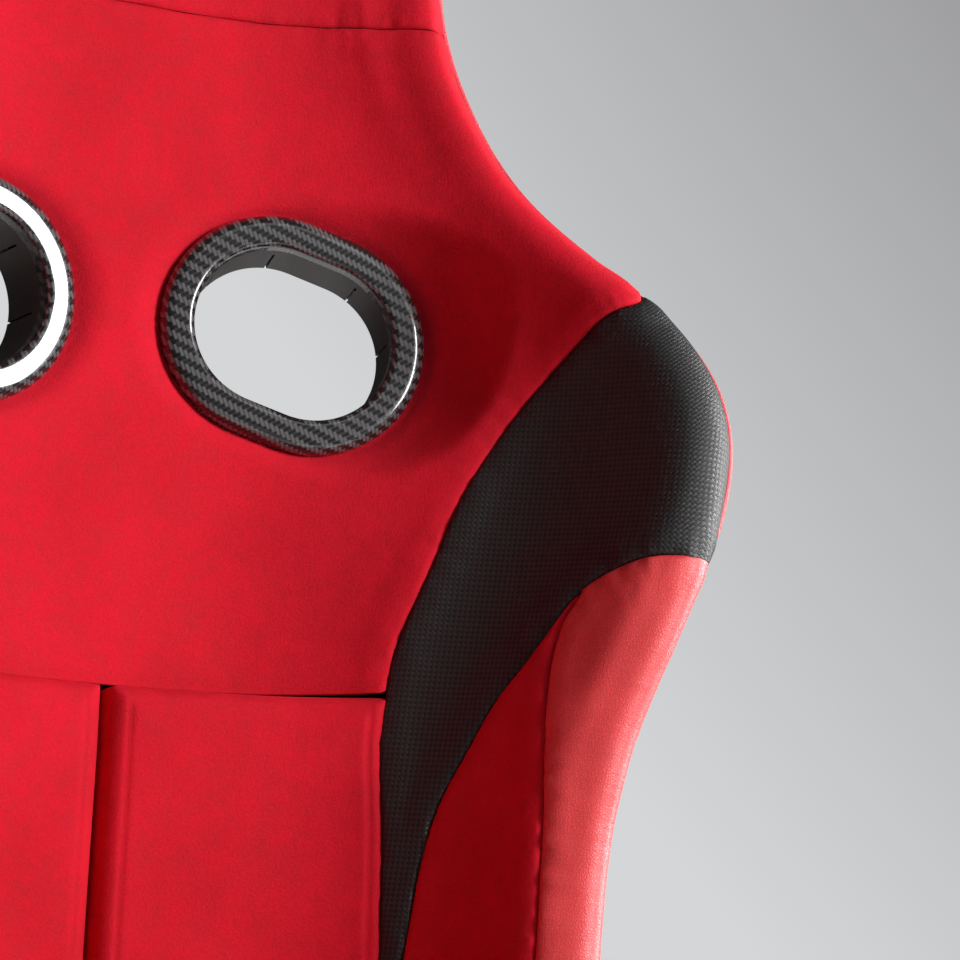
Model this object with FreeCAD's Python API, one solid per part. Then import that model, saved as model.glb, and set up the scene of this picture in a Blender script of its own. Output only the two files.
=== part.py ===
"""Fixed-back racing bucket seat on a pair of slide rails, in millimetres.

Frame: +Z up, the seat faces -Y, +X is to the right of someone looking at its front. The origin is on the
floor, at the centre of the four floor bolts. One sheet of maths describes the moulded shell: a spine that runs
from the top of the head to the front lip, and at each distance along it a symmetric cross-section. Foam, covers
and edge trim are offsets of that sheet, so they follow it when a size is changed.
"""

import FreeCAD
import Part
import math
import os

Vector = FreeCAD.Vector

# ---------------------------------------------------------------- driving dimensions
SEAT_DROP = 30.0            # the shell sits this much lower than its own datum
SHELL_WALL = 4.0            # laminate thickness
WIDTH_SCALE = 1.0           # all widths of the shell
WALL_FLARE = 0.22           # how far the side wall leans out, as a share of its run
WALL_KNEE = 0.36            # height of the bend at the foot of the side wall, as a share of its depth

# Spine stations of the shell's inner face: y, z, lean of the section (0 faces forward, 90 faces up),
# half width at the rim, depth of the side wall, half width of the flat middle.
STATIONS = [
    (342, 985, 0, 68, 6, 44),        # top of the head
    (343, 972, 1, 102, 16, 64),
    (343, 945, 3, 125, 28, 78),
    (341, 900, 5, 137, 40, 88),      # middle of the head
    (338, 850, 8, 142, 47, 95),
    (333, 800, 11, 147, 53, 102),    # neck
    (325, 755, 13, 161, 62, 112),
    (314, 705, 14, 191, 78, 124),    # top of the shoulder
    (300, 645, 15, 240, 126, 128),   # harness openings
    (285, 585, 16, 262, 155, 126),   # widest part of the shoulder
    (266, 510, 16, 247, 155, 122),
    (247, 430, 17, 218, 142, 118),
    (230, 350, 18, 207, 140, 118),   # waist
    (212, 270, 24, 204, 146, 126),
    (190, 195, 38, 204, 157, 144),
    (150, 128, 58, 205, 165, 162),   # tail
    (85, 92, 75, 208, 165, 172),
    (-5, 88, 89, 212, 152, 178),     # under the sitter
    (-105, 112, 97, 216, 128, 180),
    (-195, 140, 100, 218, 100, 180),
    (-262, 160, 101, 214, 70, 172),
    (-300, 160, 108, 186, 38, 140),  # front lip
]

# Foam and covers, measured square to the shell
BACK_FOAM = 26.0
BOLSTER_FOAM = 40.0
COVER_WALL = 2.5
COVER_GAP = 0.5             # glue line between cover and foam
SEAT_GAP = 0.6              # glue line between foam and shell
BASE_FELT = 8.0             # thin liner under the loose pads
LUMBAR_PAD = 46.0           # face of the pad above the shell
SEAT_PAD = 50.0
PAD_SPLIT = 0.024           # half the groove between the lumbar pads, as a share of the section
NOSE_REACH = 17.0           # how far the padded roll stands past the shell's rim
FOAM_SPLIT = 0.42           # where back foam meets bolster foam, as a share of the section
TRIM_WALL = 2.4
TRIM_HEIGHT = 8.0

# Places along the spine, in mm from the top of the head
S_NECK = 190.0
S_BACK_END = 536.0
S_PAD_TOP = 541.0
S_LUMBAR_END = 742.0
S_BOLSTER_END = 702.0
S_PAD_START = 835.0
S_THIGH = 1088.0
S_FRONT = 1318.0

# Seams of the cover on the right side: distance along the spine, place across the section (1 is the rim)
SHOULDER_SEAM = [(325, 1.0), (340, 0.90), (352, 0.73), (368, 0.638), (388, 0.562), (415, 0.494), (440, 0.456)]
SHOULDER_SEAM += [(465, 0.438), (492, 0.419), (515, 0.408), (538, 0.412), (560, 0.42), (588, 0.444), (640, 0.468)]
SHOULDER_SEAM += [(700, 0.485)]
SHOULDER_HEM = [(475, 1.0), (475, 0.93), (475, 0.86), (475, 0.785), (478, 0.731), (485, 0.69), (505, 0.66)]
SHOULDER_HEM += [(522, 0.644), (540, 0.62), (562, 0.6), (588, 0.57), (640, 0.54), (700, 0.515)]
PATCH_SEAM = [(490, 0.69), (502, 0.675), (518, 0.679), (540, 0.70), (565, 0.731), (595, 0.765), (640, 0.79)]
PATCH_SEAM += [(700, 0.80)]
SEAM_S, SEAM_Q = 0.4, 0.0016    # half the gap at a seam

# Harness openings
HOLE_X = 94.5
HOLE_S = 350.5
HOLE_TILT = 18.0            # long axis falls towards the outside
HOLE_TURN = 11.0            # face turned towards the middle
BEZEL_LENGTH, BEZEL_WIDTH = 135.0, 115.0
SLOT_LENGTH, SLOT_WIDTH = 101.0, 81.0
BEZEL_FACE = 40.0           # front of the bezel above the shell's middle
BEZEL_FLANGE = 9.0
SLEEVE_WALL = 2.2
SLEEVE_GAP = 0.5
REAR_RING_FACE = -3.0

# Belt slots
LAP_SLOT_Y, LAP_SLOT_Z = 90.0, 208.0 - SEAT_DROP
LAP_SLOT_LENGTH, LAP_SLOT_WIDTH, LAP_SLOT_TILT = 80.0, 28.0, 20.0
CROTCH_Y = -118.0
CROTCH_LENGTH, CROTCH_WIDTH = 96.0, 30.0

# Mounting
SIDE_BOLT_Y = (-165.0, 125.0)
SIDE_BOLT_Z = 176.0 - SEAT_DROP
SIDE_FACE_X = 205.0 * WIDTH_SCALE + SHELL_WALL     # inner face of the side bracket, on the shell's side
BRACKET_WALL = 5.0
BOLT_R = 4.0                # M8
BOLT_FIT = 0.05
BOSS_R = 15.0
BOSS_REACH = 53.0           # room for a boss inside the bracket's face
BOLT_REACH = 6.0            # thread of the side bolts in their bosses

# Rails
RAIL_X = 190.0
FOOT_Z = 4.0
LOWER_LENGTH = 380.0
UPPER_LENGTH = 340.0
FOOT_PITCH_Y = 410.0        # floor bolts, front to rear
FOOT_HOLE_R = 4.25
RAIL_BOLT_Y = (-140.0, 140.0)       # bolts from the side bracket into the upper rail
RAIL_HALF = 21.0
RAIL_WALL = 2.5
LOWER_TOP = 25.0
UPPER_TOP = 40.0
BALL_R = 2.7
RUN_GAP = 0.05              # clearance of balls and pins
SLIDE_GAP = 0.3
NOTCH_PITCH = 16.0
NOTCH_WIDTH = 9.0
CAGE_LENGTH = 150.0
PIVOT_R = 3.0
BAR_R = 5.5
ARM_X = RAIL_X - RAIL_HALF - 9.0
PIVOT_Y, PIVOT_Z = -100.0, 30.0
BAR_Y, BAR_Z = -300.0, 36.0
COMB_X, COMB_Z = RAIL_X - RAIL_HALF - 11.5, 34.0
COMB_Y = 40.0


# ---------------------------------------------------------------- curves
class Spline:
    """Natural cubic spline through rows of values at the given places."""

    def __init__(self, places, rows):
        self.x = [float(p) for p in places]
        self.rows = [[float(v) for v in row] for row in rows]
        self.curve = [self._second(k) for k in range(len(self.rows[0]))]

    def _second(self, k):
        x, n = self.x, len(self.x)
        y = [row[k] for row in self.rows]
        upper, right = [0.0] * n, [0.0] * n
        for i in range(1, n - 1):
            h0, h1 = x[i] - x[i - 1], x[i + 1] - x[i]
            pull = 6 * ((y[i + 1] - y[i]) / h1 - (y[i] - y[i - 1]) / h0)
            pivot = 2 * (h0 + h1) - h0 * upper[i - 1]
            upper[i] = h1 / pivot
            right[i] = (pull - h0 * right[i - 1]) / pivot
        second = [0.0] * n
        for i in range(n - 2, 0, -1):
            second[i] = right[i] - upper[i] * second[i + 1]
        return second

    def __call__(self, at):
        x = self.x
        i = 0
        while i < len(x) - 2 and at > x[i + 1]:
            i += 1
        h = x[i + 1] - x[i]
        a, b = (x[i + 1] - at) / h, (at - x[i]) / h
        found = []
        for k, m in enumerate(self.curve):
            bend = ((a ** 3 - a) * m[i] + (b ** 3 - b) * m[i + 1]) * h * h / 6
            found.append(a * self.rows[i][k] + b * self.rows[i + 1][k] + bend)
        return found


def chord_lengths(points):
    """Distance along a line of points, from its first one."""
    total = [0.0]
    for p, q in zip(points, points[1:]):
        total.append(total[-1] + math.dist(p, q))
    return total


SPINE_AT = chord_lengths([(row[0], row[1]) for row in STATIONS])
SPINE = Spline(SPINE_AT, STATIONS)
S_END = SPINE_AT[-1]


class Section:
    """The shell's cross-section at one place along the spine, in the plane of X and its own depth axis."""

    def __init__(self, s):
        y, z, lean, width, depth, flat = SPINE(s)
        lean = math.radians(lean)
        self.centre = Vector(0, y, z - SEAT_DROP)
        self.inward = Vector(0, -math.cos(lean), math.sin(lean))
        self.width, self.depth = width * WIDTH_SCALE, depth
        self.flat = flat * WIDTH_SCALE

    def wall(self, v):
        """Place (x, n) and direction of the shell's inner face, v from 0 in the middle to 1 at the rim."""
        p1, p2, p3 = (
            (self.flat, 0.0),
            (self.width - (self.width - self.flat) * WALL_FLARE, self.depth * WALL_KNEE),
            (self.width, self.depth),
        )
        b1, b2, b3 = 3 * v * (1 - v) ** 2, 3 * v * v * (1 - v), v ** 3
        d1, d2, d3 = 3 * (1 - v) ** 2, 6 * v * (1 - v), 3 * v * v
        place = [b1 * p1[k] + b2 * p2[k] + b3 * p3[k] for k in (0, 1)]
        way = [d1 * p1[k] + d2 * (p2[k] - p1[k]) + d3 * (p3[k] - p2[k]) for k in (0, 1)]
        size = math.hypot(*way)
        return place, (way[0] / size, way[1] / size)

    def lifted(self, v, height):
        """A place that stands off the inner face by height."""
        place, way = self.wall(v)
        return (place[0] - way[1] * height, place[1] + way[0] * height)

    def cover_knots(self):
        """Places the cover's outline passes: over the foam, round the padded roll and back to the rim."""
        share = min(1.0, self.depth / 110.0)
        bolster = BACK_FOAM + (BOLSTER_FOAM - BACK_FOAM) * share
        rim, way = self.wall(1.0)

        def at_rim(height, along):
            return (rim[0] - way[1] * height + way[0] * along, rim[1] + way[0] * height + way[1] * along)

        return [
            self.lifted(0, BACK_FOAM),
            self.lifted(0.18, BACK_FOAM),
            self.lifted(0.36, (BACK_FOAM + bolster) / 2),
            self.lifted(0.55, bolster),
            self.lifted(0.75, bolster),
            at_rim(bolster * (0.65 + 0.30 * share), -4 * share),
            at_rim(bolster * (0.36 + 0.36 * share), NOSE_REACH * (0.32 + 0.50 * share)),
            at_rim(bolster * (0.15 + 0.15 * share), NOSE_REACH * (0.52 + 0.48 * share)),
            at_rim(-3, 5),
        ]

    def place(self, x, n):
        return self.centre + Vector(x, 0, 0) + self.inward * n


COVER_AT = [0, 0.15, 0.3, 0.45, 0.6, 0.74, 0.84, 0.93, 1.0]


def shell_point(s, v, height=0.0):
    """Point on the shell's inner face, or standing off it. Negative v is the left side."""
    section = Section(s)
    x, n = section.lifted(abs(v), height)
    return section.place(math.copysign(x, v) if v else 0.0, n)


def cover_point(s, q, sink=0.0):
    """Point on the finished upholstery, q from -1 at the left rim to 1 at the right, or sunk below it."""
    section = Section(s)
    knots = section.cover_knots()
    left = [(-x, n) for x, n in reversed(knots[1:])]
    outline = Spline([-a for a in reversed(COVER_AT[1:])] + COVER_AT, left + knots)
    x, n = outline(q)
    if sink:
        ahead, behind = outline(min(1, q + 0.004)), outline(max(-1, q - 0.004))
        dx, dn = ahead[0] - behind[0], ahead[1] - behind[1]
        size = math.hypot(dx, dn)
        x, n = x + dn / size * sink, n - dx / size * sink
    return section.place(x, n)


def under_foam(q):
    """Where on the shell (v) the foam under place q of the cover stands."""
    return math.copysign(1 - (1 - abs(q)) ** 1.35, q)


def spread(first, last, count):
    return [first + (last - first) * k / (count - 1) for k in range(count)]


# ---------------------------------------------------------------- solids from sheets
def sharpened(line):
    """Poles whose smooth cubic passes the points of a line."""
    inside = [q - (p - q * 2 + r) * (1 / 6) for p, q, r in zip(line, line[1:], line[2:])]
    return [line[0]] + inside + [line[-1]]


def end_knots(count):
    """Even knots of a cubic with that many poles, clamped at both ends."""
    spans = count - 3
    return [4] + [1] * (spans - 1) + [4], [float(k) for k in range(spans + 1)]


def sheet(grid):
    """Smooth surface through a grid of points."""
    rows = [sharpened(row) for row in grid]
    columns = [sharpened(list(column)) for column in zip(*rows)]
    poles = [list(row) for row in zip(*columns)]
    mults_u, knots_u = end_knots(len(poles))
    mults_v, knots_v = end_knots(len(poles[0]))
    surface = Part.BSplineSurface()
    surface.buildFromPolesMultsKnots(poles, mults_u, mults_v, knots_u, knots_v, False, False, 3, 3)
    return surface


def between(top, bottom):
    """Solid between two grids of points of the same shape, closed by ruled faces round the edge."""
    upper, lower = sheet(top), sheet(bottom)
    faces = [upper.toShape(), lower.toShape()]
    u0, u1, v0, v1 = upper.bounds()
    a0, a1, b0, b1 = lower.bounds()
    for one, two in (
        (upper.uIso(u0), lower.uIso(a0)),
        (upper.uIso(u1), lower.uIso(a1)),
        (upper.vIso(v0), lower.vIso(b0)),
        (upper.vIso(v1), lower.vIso(b1)),
    ):
        faces.append(Part.makeRuledSurface(one.toShape(), two.toShape()))
    shell = Part.makeShell(faces)
    shell.sewShape()
    solid = Part.Solid(shell)
    if solid.Volume < 0:
        solid.reverse()
    return solid


def along(line, count):
    """Evenly spaced places on a spline through the (s, q) places of a seam."""
    curve = Spline(chord_lengths([(s, q * 300) for s, q in line]), line)
    return [curve(t) for t in spread(0, curve.x[-1], count)]


def shifted(line, ds, dq):
    return [(s + ds, q + dq) for s, q in line]


def trimmed(line, s0, s1):
    """The part of a seam between two distances, with its ends put exactly there."""
    curve = Spline([s for s, q in line], [(q,) for s, q in line])
    inside = [(s, q) for s, q in line if s0 + 4 < s < s1 - 4]
    return [(s0, curve(s0)[0])] + inside + [(s1, curve(s1)[0])]


def coons(start, end, first, last, rows=22, columns=16):
    """(s, q) places inside four edge lines: start and end run the same way, first and last join them."""
    a, c = along(start, rows), along(end, rows)
    b, d = along(first, columns), along(last, columns)
    grid = []
    for i in range(rows):
        u = i / (rows - 1)
        row = []
        for j in range(columns):
            v = j / (columns - 1)
            place = []
            for k in (0, 1):
                ruled = (1 - v) * a[i][k] + v * c[i][k] + (1 - u) * b[j][k] + u * d[j][k]
                corner = (1 - u) * ((1 - v) * a[0][k] + v * c[0][k]) + u * ((1 - v) * a[-1][k] + v * c[-1][k])
                place.append(ruled - corner)
            row.append(place)
        grid.append(row)
    return grid


def straight(p, q):
    return [(p[0] + (q[0] - p[0]) * t, p[1] + (q[1] - p[1]) * t) for t in (0, 1 / 3, 2 / 3, 1)]


def cover_slab(places, high, low):
    """Solid over a grid of (s, q) places, from one depth below the cover's face to another."""
    top = [[cover_point(s, q, high) for s, q in row] for row in places]
    bottom = [[cover_point(s, q, low) for s, q in row] for row in places]
    return between(top, bottom)


def panel(places):
    """A sewn panel of the cover over a grid of (s, q) places."""
    return cover_slab(places, 0.0, COVER_WALL)


def strip(s0, s1, q0, q1, rows=20, columns=16):
    """(s, q) places of a panel with straight sides."""
    return [[(s, q) for q in spread(q0, q1, columns)] for s in spread(s0, s1, rows)]


def foam_block(s0, s1, q0, q1, rows=20, columns=14):
    """Foam between the shell and the underside of the cover."""
    sink = COVER_WALL + COVER_GAP
    places = strip(s0, s1, q0, q1, rows, columns)
    top = [[cover_point(s, q, sink) for s, q in row] for row in places]
    bottom = [[shell_point(s, under_foam(q), SEAT_GAP) for s, q in row] for row in places]
    return between(top, bottom)


def layer(s0, s1, v0, v1, low, high, rows=14, columns=14):
    """Sheet of even thickness standing off the shell."""
    places = strip(s0, s1, v0, v1, rows, columns)
    top = [[shell_point(s, v, high) for s, v in row] for row in places]
    bottom = [[shell_point(s, v, low) for s, v in row] for row in places]
    return between(top, bottom)


def mirrored(shape):
    return shape.mirror(Vector(0, 0, 0), Vector(1, 0, 0))


def box(x0, x1, y0, y1, z0, z1):
    return Part.makeBox(x1 - x0, y1 - y0, z1 - z0, Vector(x0, y0, z0))


def rod(radius, start, end):
    start, end = Vector(*start), Vector(*end)
    return Part.makeCylinder(radius, (end - start).Length, start, end - start)


def hex_head(across, height, start, way):
    """Hexagon head standing on a point, pointing along way."""
    way = Vector(*way)
    side = Vector(0, 0, 1).cross(way)
    if side.Length < 0.5:
        side = Vector(1, 0, 0)
    other = way.cross(side)
    reach = across / math.sqrt(3)
    ring = []
    for k in range(6):
        turn = math.radians(60 * k)
        ring.append(Vector(*start) + side * reach * math.cos(turn) + other * reach * math.sin(turn))
    return Part.Face(Part.makePolygon(ring + ring[:1])).extrude(way * height)


def profile_y(points, y0, y1):
    """Prism along Y from an outline of (x, z) points."""
    ring = [Vector(x, y0, z) for x, z in points]
    return Part.Face(Part.makePolygon(ring + ring[:1])).extrude(Vector(0, y1 - y0, 0))


def obround(centre, long_axis, short_axis, length, width, low, high):
    """Prism with round ends, from low to high along the normal of its two axes."""
    normal = long_axis.cross(short_axis)
    reach, radius = (length - width) / 2, width / 2
    base = centre + normal * low

    def at(x, y):
        return base + long_axis * x + short_axis * y

    edges = [
        Part.LineSegment(at(-reach, radius), at(reach, radius)).toShape(),
        Part.Arc(at(reach, radius), at(reach + radius, 0), at(reach, -radius)).toShape(),
        Part.LineSegment(at(reach, -radius), at(-reach, -radius)).toShape(),
        Part.Arc(at(-reach, -radius), at(-reach - radius, 0), at(-reach, radius)).toShape(),
    ]
    return Part.Face(Part.Wire(edges)).extrude(normal * (high - low))


# ---------------------------------------------------------------- openings
def hole_axes():
    """Centre on the shell, long axis and short axis of the right harness opening."""
    section = Section(HOLE_S)
    up = Vector(0, section.inward.z, -section.inward.y)
    turn, tilt = math.radians(HOLE_TURN), math.radians(HOLE_TILT)
    across = Vector(math.cos(turn), 0, 0) + section.inward * math.sin(turn)
    long_axis = across * math.cos(tilt) - up * math.sin(tilt)
    short_axis = across * math.sin(tilt) + up * math.cos(tilt)
    return section.place(HOLE_X, 0), long_axis, short_axis


HOLE_CENTRE, HOLE_LONG, HOLE_SHORT = hole_axes()
HOLE_NORMAL = HOLE_LONG.cross(HOLE_SHORT)
SLEEVE_LENGTH = SLOT_LENGTH + 2 * SLEEVE_WALL
SLEEVE_WIDTH = SLOT_WIDTH + 2 * SLEEVE_WALL


def harness_prism(length, width, low, high):
    return obround(HOLE_CENTRE, HOLE_LONG, HOLE_SHORT, length, width, low, high)


HARNESS_CUT = harness_prism(SLEEVE_LENGTH + 2 * SLEEVE_GAP, SLEEVE_WIDTH + 2 * SLEEVE_GAP, -80, 120)
HARNESS_BORE = harness_prism(SLOT_LENGTH, SLOT_WIDTH, -80, 120)
FLANGE_BACK = BEZEL_FACE - BEZEL_FLANGE
BEZEL_SEAT = harness_prism(BEZEL_LENGTH + 1, BEZEL_WIDTH + 1, FLANGE_BACK - 0.3, 120)
PADDING_CUT = [HARNESS_CUT, BEZEL_SEAT, mirrored(HARNESS_CUT), mirrored(BEZEL_SEAT)]


def at_height(edge, height):
    """True for an edge that lies that far in front of the opening's centre."""
    heights = [(v.Point - HOLE_CENTRE).dot(HOLE_NORMAL) for v in edge.Vertexes]
    return max(abs(h - height) for h in heights) < 0.1


def build_bezel():
    """Front ring with a rounded outer edge and a rolled inner lip."""
    ring = harness_prism(BEZEL_LENGTH, BEZEL_WIDTH, FLANGE_BACK, BEZEL_FACE)
    ring = ring.makeFillet(BEZEL_FLANGE - 2.5, [e for e in ring.Edges if at_height(e, BEZEL_FACE)])
    ring = ring.cut(HARNESS_BORE)
    return ring.makeFillet(3.5, [e for e in ring.Edges if at_height(e, BEZEL_FACE)])


def build_sleeve():
    """Sleeve through foam and shell, its rear sawn into snap fingers."""
    sleeve = harness_prism(SLEEVE_LENGTH, SLEEVE_WIDTH, REAR_RING_FACE + 2, FLANGE_BACK - 0.1)
    sleeve = sleeve.cut(HARNESS_BORE)
    for degrees in (20, 60, 120, 160, 200, 240, 300, 340):
        turn = math.radians(degrees)
        way = HOLE_LONG * math.cos(turn) + HOLE_SHORT * math.sin(turn)
        side = HOLE_NORMAL.cross(way)
        base = HOLE_CENTRE + HOLE_NORMAL * (REAR_RING_FACE + 1) - side * 0.6 + way * 20
        ring = [base, base + way * 60, base + way * 60 + side * 1.2, base + side * 1.2]
        sleeve = sleeve.cut(Part.Face(Part.makePolygon(ring + ring[:1])).extrude(HOLE_NORMAL * 26))
    return sleeve


def build_rear_ring():
    """Ring behind the shell, cut to its curve and clipped over the sleeve."""
    back = REAR_RING_FACE
    ring = harness_prism(BEZEL_LENGTH - 6, BEZEL_WIDTH - 6, back, back + 24)
    ring = ring.makeFillet(2.5, [e for e in ring.Edges if at_height(e, back)])
    filler = layer(230, 470, -0.3, 0.9, -SHELL_WALL - 0.2, 40, 30, 30)
    ring = ring.cut([filler, harness_prism(SLEEVE_LENGTH + 0.2, SLEEVE_WIDTH + 0.2, -80, 120)])
    return max(ring.Solids, key=lambda piece: piece.Volume)


def lap_prism(extra, x0, x1):
    """Slot through the right hip wall for a lap belt."""
    tilt = math.radians(LAP_SLOT_TILT)
    long_axis = Vector(0, math.cos(tilt), math.sin(tilt))
    short_axis = Vector(0, -math.sin(tilt), math.cos(tilt))
    centre = Vector(0, LAP_SLOT_Y, LAP_SLOT_Z)
    return obround(centre, long_axis, short_axis, LAP_SLOT_LENGTH + 2 * extra, LAP_SLOT_WIDTH + 2 * extra, x0, x1)


def crotch_prism(extra, z0, z1):
    """Slot through the seat base for the strap between the legs."""
    centre = Vector(0, CROTCH_Y, 0)
    length, width = CROTCH_LENGTH + 2 * extra, CROTCH_WIDTH + 2 * extra
    return obround(centre, Vector(1, 0, 0), Vector(0, 1, 0), length, width, z0, z1)


# ---------------------------------------------------------------- shell and upholstery
def build_shell():
    rows, columns = spread(0, S_END, 110), spread(-1, 1, 45)
    top = [[shell_point(s, v) for v in columns] for s in rows]
    bottom = [[shell_point(s, v, -SHELL_WALL) for v in columns] for s in rows]
    shell = between(top, bottom)
    tools = [HARNESS_CUT, mirrored(HARNESS_CUT), lap_prism(0, 120, 260), mirrored(lap_prism(0, 120, 260))]
    return shell.cut(tools + [crotch_prism(0, -20, 160)])


def rim_strip(s0, s1, rows=130):
    """Piping that covers the shell's edge on the right, from s0 to s1."""
    inner, outer = -SHELL_WALL - 0.4, -SHELL_WALL - 0.4 - TRIM_WALL
    grids = []
    for height in (outer, inner):
        grid = []
        for s in spread(s0, s1, rows):
            section = Section(s)
            (x, n), (dx, dn) = section.wall(1.0)
            row = []
            for reach in spread(-TRIM_HEIGHT, 3.0, 4):
                row.append(section.place(x - dn * height + dx * reach, n + dx * height + dn * reach))
            grid.append(row)
        grids.append(grid)
    return between(*grids)


SEAM = Spline([s for s, q in SHOULDER_SEAM], [(q,) for s, q in SHOULDER_SEAM])
HEM = Spline([s for s, q in SHOULDER_HEM[4:]], [(q,) for s, q in SHOULDER_HEM[4:]])
S_YOKE_END = SHOULDER_SEAM[2][0]


def build_back_cover():
    """Middle panel: a yoke over the full width, then the back between the shoulders' seams."""
    rows = []
    for s in spread(S_YOKE_END + SEAM_S, S_BACK_END, 26):
        half = SEAM(s)[0] - SEAM_Q
        rows.append([(s, half * t) for t in spread(-1, 1, 34)])
    yoke = panel(strip(S_NECK + SEAM_S, S_YOKE_END - SEAM_S, -1, 1, 20, 44))
    return Part.makeCompound([yoke.cut(PADDING_CUT), panel(rows).cut(PADDING_CUT)])


def build_shoulder():
    """Right shoulder panel: a wide part out to the rim, and a tail between its two seams."""
    turn = SHOULDER_HEM[0][0] - SEAM_S
    parts = []
    for first, last, outer in ((S_YOKE_END + SEAM_S, turn, None), (SHOULDER_HEM[4][0], SHOULDER_SEAM[-1][0], HEM)):
        rows = []
        for s in spread(first, last, 24):
            q1 = outer(s)[0] - SEAM_Q if outer else 1.0
            rows.append([(s, q) for q in spread(SEAM(s)[0] + SEAM_Q, q1, 16)])
        parts.append(panel(rows))
    return Part.makeCompound(parts)


def build_covers():
    """All other panels of the right side, and the head's, by node name."""
    ds, dq = SEAM_S, SEAM_Q
    hem = SHOULDER_HEM
    top = [(s + ds, q) for s, q in hem if q > 0.70]
    start = PATCH_SEAM[0]
    patch = coons(
        shifted(PATCH_SEAM, 0, dq),
        [(475 + ds, 1.0), (550, 1.0), (625, 1.0), (700, 1.0)],
        [(start[0], start[1] + dq)] + list(reversed(top)),
        straight((700, PATCH_SEAM[-1][1] + dq), (700, 1.0)),
        26, 16,
    )
    inner = [(s, q + dq) for s, q in trimmed(hem[5:], 508, 700)]
    outer = [(s, q - dq) for s, q in trimmed(PATCH_SEAM, 508, 700)]
    waist = coons(inner, outer, straight(inner[0], outer[0]), straight(inner[-1], outer[-1]), 24, 8)
    return {
        "head_cover": panel(strip(20, S_NECK - ds, -1, 1, 30, 30)),
        "shoulder_panel_right": build_shoulder(),
        "side_patch_right": panel(patch),
        "waist_panel_right": panel(waist),
        "hip_cover_right": panel(strip(S_BOLSTER_END + ds, S_FRONT, 0.50, 1.0, 40, 16)),
    }


def build_soft():
    """Upholstery nodes; the ones that exist on both sides are built for the right and mirrored."""
    covers = build_covers()
    lap = lap_prism(1.5, 100, 280)
    crotch = crotch_prism(1.0, -20, 220)
    made = {
        "head_cover": covers["head_cover"],
        "back_cover": build_back_cover(),
        "head_foam": foam_block(26, S_NECK - 1, -0.98, 0.98, 30, 30),
        "back_foam": foam_block(S_NECK + 1, S_BACK_END, -FOAM_SPLIT, FOAM_SPLIT, 24, 20).cut(PADDING_CUT),
        "base_liner": layer(S_PAD_TOP, S_FRONT - 10, -0.47, 0.47, SEAT_GAP, BASE_FELT, 48, 16).cut(crotch),
        "seat_cushion": layer(S_PAD_START, S_THIGH, -0.46, 0.46, BASE_FELT + 0.4, SEAT_PAD, 14, 14),
        "thigh_cushion": layer(S_THIGH + 4, S_FRONT - 12, -0.46, 0.46, BASE_FELT + 0.4, SEAT_PAD, 12, 14),
    }
    for name in ("seat_cushion", "thigh_cushion"):
        made[name] = made[name].cut(crotch)
    bolster = foam_block(S_NECK + 1, S_BOLSTER_END - 0.5, FOAM_SPLIT + 0.003, 0.98, 34, 14)
    hip = foam_block(S_BOLSTER_END + 0.5, S_FRONT - 4, 0.505, 0.98, 34, 14)
    pad = layer(S_PAD_TOP, S_LUMBAR_END, PAD_SPLIT, 0.475, BASE_FELT + 0.4, LUMBAR_PAD, 16, 12)
    sides = {
        "bolster_foam": bolster.cut(PADDING_CUT[:2]),
        "hip_foam": hip.cut(lap),
        "lumbar_pad": pad,
        "shoulder_panel": covers["shoulder_panel_right"],
        "side_patch": covers["side_patch_right"],
        "waist_panel": covers["waist_panel_right"],
        "hip_cover": covers["hip_cover_right"].cut(lap),
        "edge_trim": rim_strip(14, S_END - 4),
    }
    for name, shape in sides.items():
        made[name + "_right"] = shape
        made[name + "_left"] = mirrored(shape)
    return made


# ---------------------------------------------------------------- rails
def rail_outline(points):
    """Both halves of a channel's outline about the rail's middle, from the half on its right."""
    right = [(RAIL_X + x, z) for x, z in points]
    return right + [(2 * RAIL_X - x, z) for x, z in reversed(right)]


FLOOR_IN = FOOT_Z + RAIL_WALL                       # running floor of the lower rail
FLANGE_Z = FLOOR_IN + 2 * (BALL_R + RUN_GAP)        # underside of the upper rail
BALL_Z = FLOOR_IN + RUN_GAP + BALL_R
HOOK_X = RAIL_HALF - RAIL_WALL - SLIDE_GAP
LIP_Z = LOWER_TOP - RAIL_WALL
WEB_X = 8.0
BALL_X = 13.5
BALL_YS = (-60.0, -15.0, 15.0, 60.0)


def build_lower_rail():
    inner = RAIL_HALF - RAIL_WALL
    outline = rail_outline([
        (RAIL_HALF, FOOT_Z), (RAIL_HALF, LOWER_TOP), (WEB_X + 1.2, LOWER_TOP),
        (WEB_X + 1.2, LIP_Z), (inner, LIP_Z), (inner, FLOOR_IN),
    ])
    rail = profile_y(outline, -LOWER_LENGTH / 2, LOWER_LENGTH / 2)
    side = RAIL_X - RAIL_HALF
    notches = []
    for k in range(10):
        y = COMB_Y + (k - 6.5) * NOTCH_PITCH
        notches.append(box(side - 1, side + RAIL_WALL + 1, y - NOTCH_WIDTH / 2, y + NOTCH_WIDTH / 2, 15, 21))
    return rail.cut(notches)


def build_upper_rail():
    inner = WEB_X - RAIL_WALL
    outline = rail_outline([
        (inner, UPPER_TOP - RAIL_WALL), (inner, FLANGE_Z), (HOOK_X, FLANGE_Z), (HOOK_X, LIP_Z - SLIDE_GAP),
        (HOOK_X - RAIL_WALL, LIP_Z - SLIDE_GAP), (HOOK_X - RAIL_WALL, FLANGE_Z + RAIL_WALL),
        (WEB_X, FLANGE_Z + RAIL_WALL), (WEB_X, UPPER_TOP),
    ])
    rail = profile_y(outline, -UPPER_LENGTH / 2, UPPER_LENGTH / 2)
    holes = [rod(BOLT_R + BOLT_FIT, (RAIL_X, y, 30), (RAIL_X, y, 50)) for y in RAIL_BOLT_Y]
    return rail.cut(holes)


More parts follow.
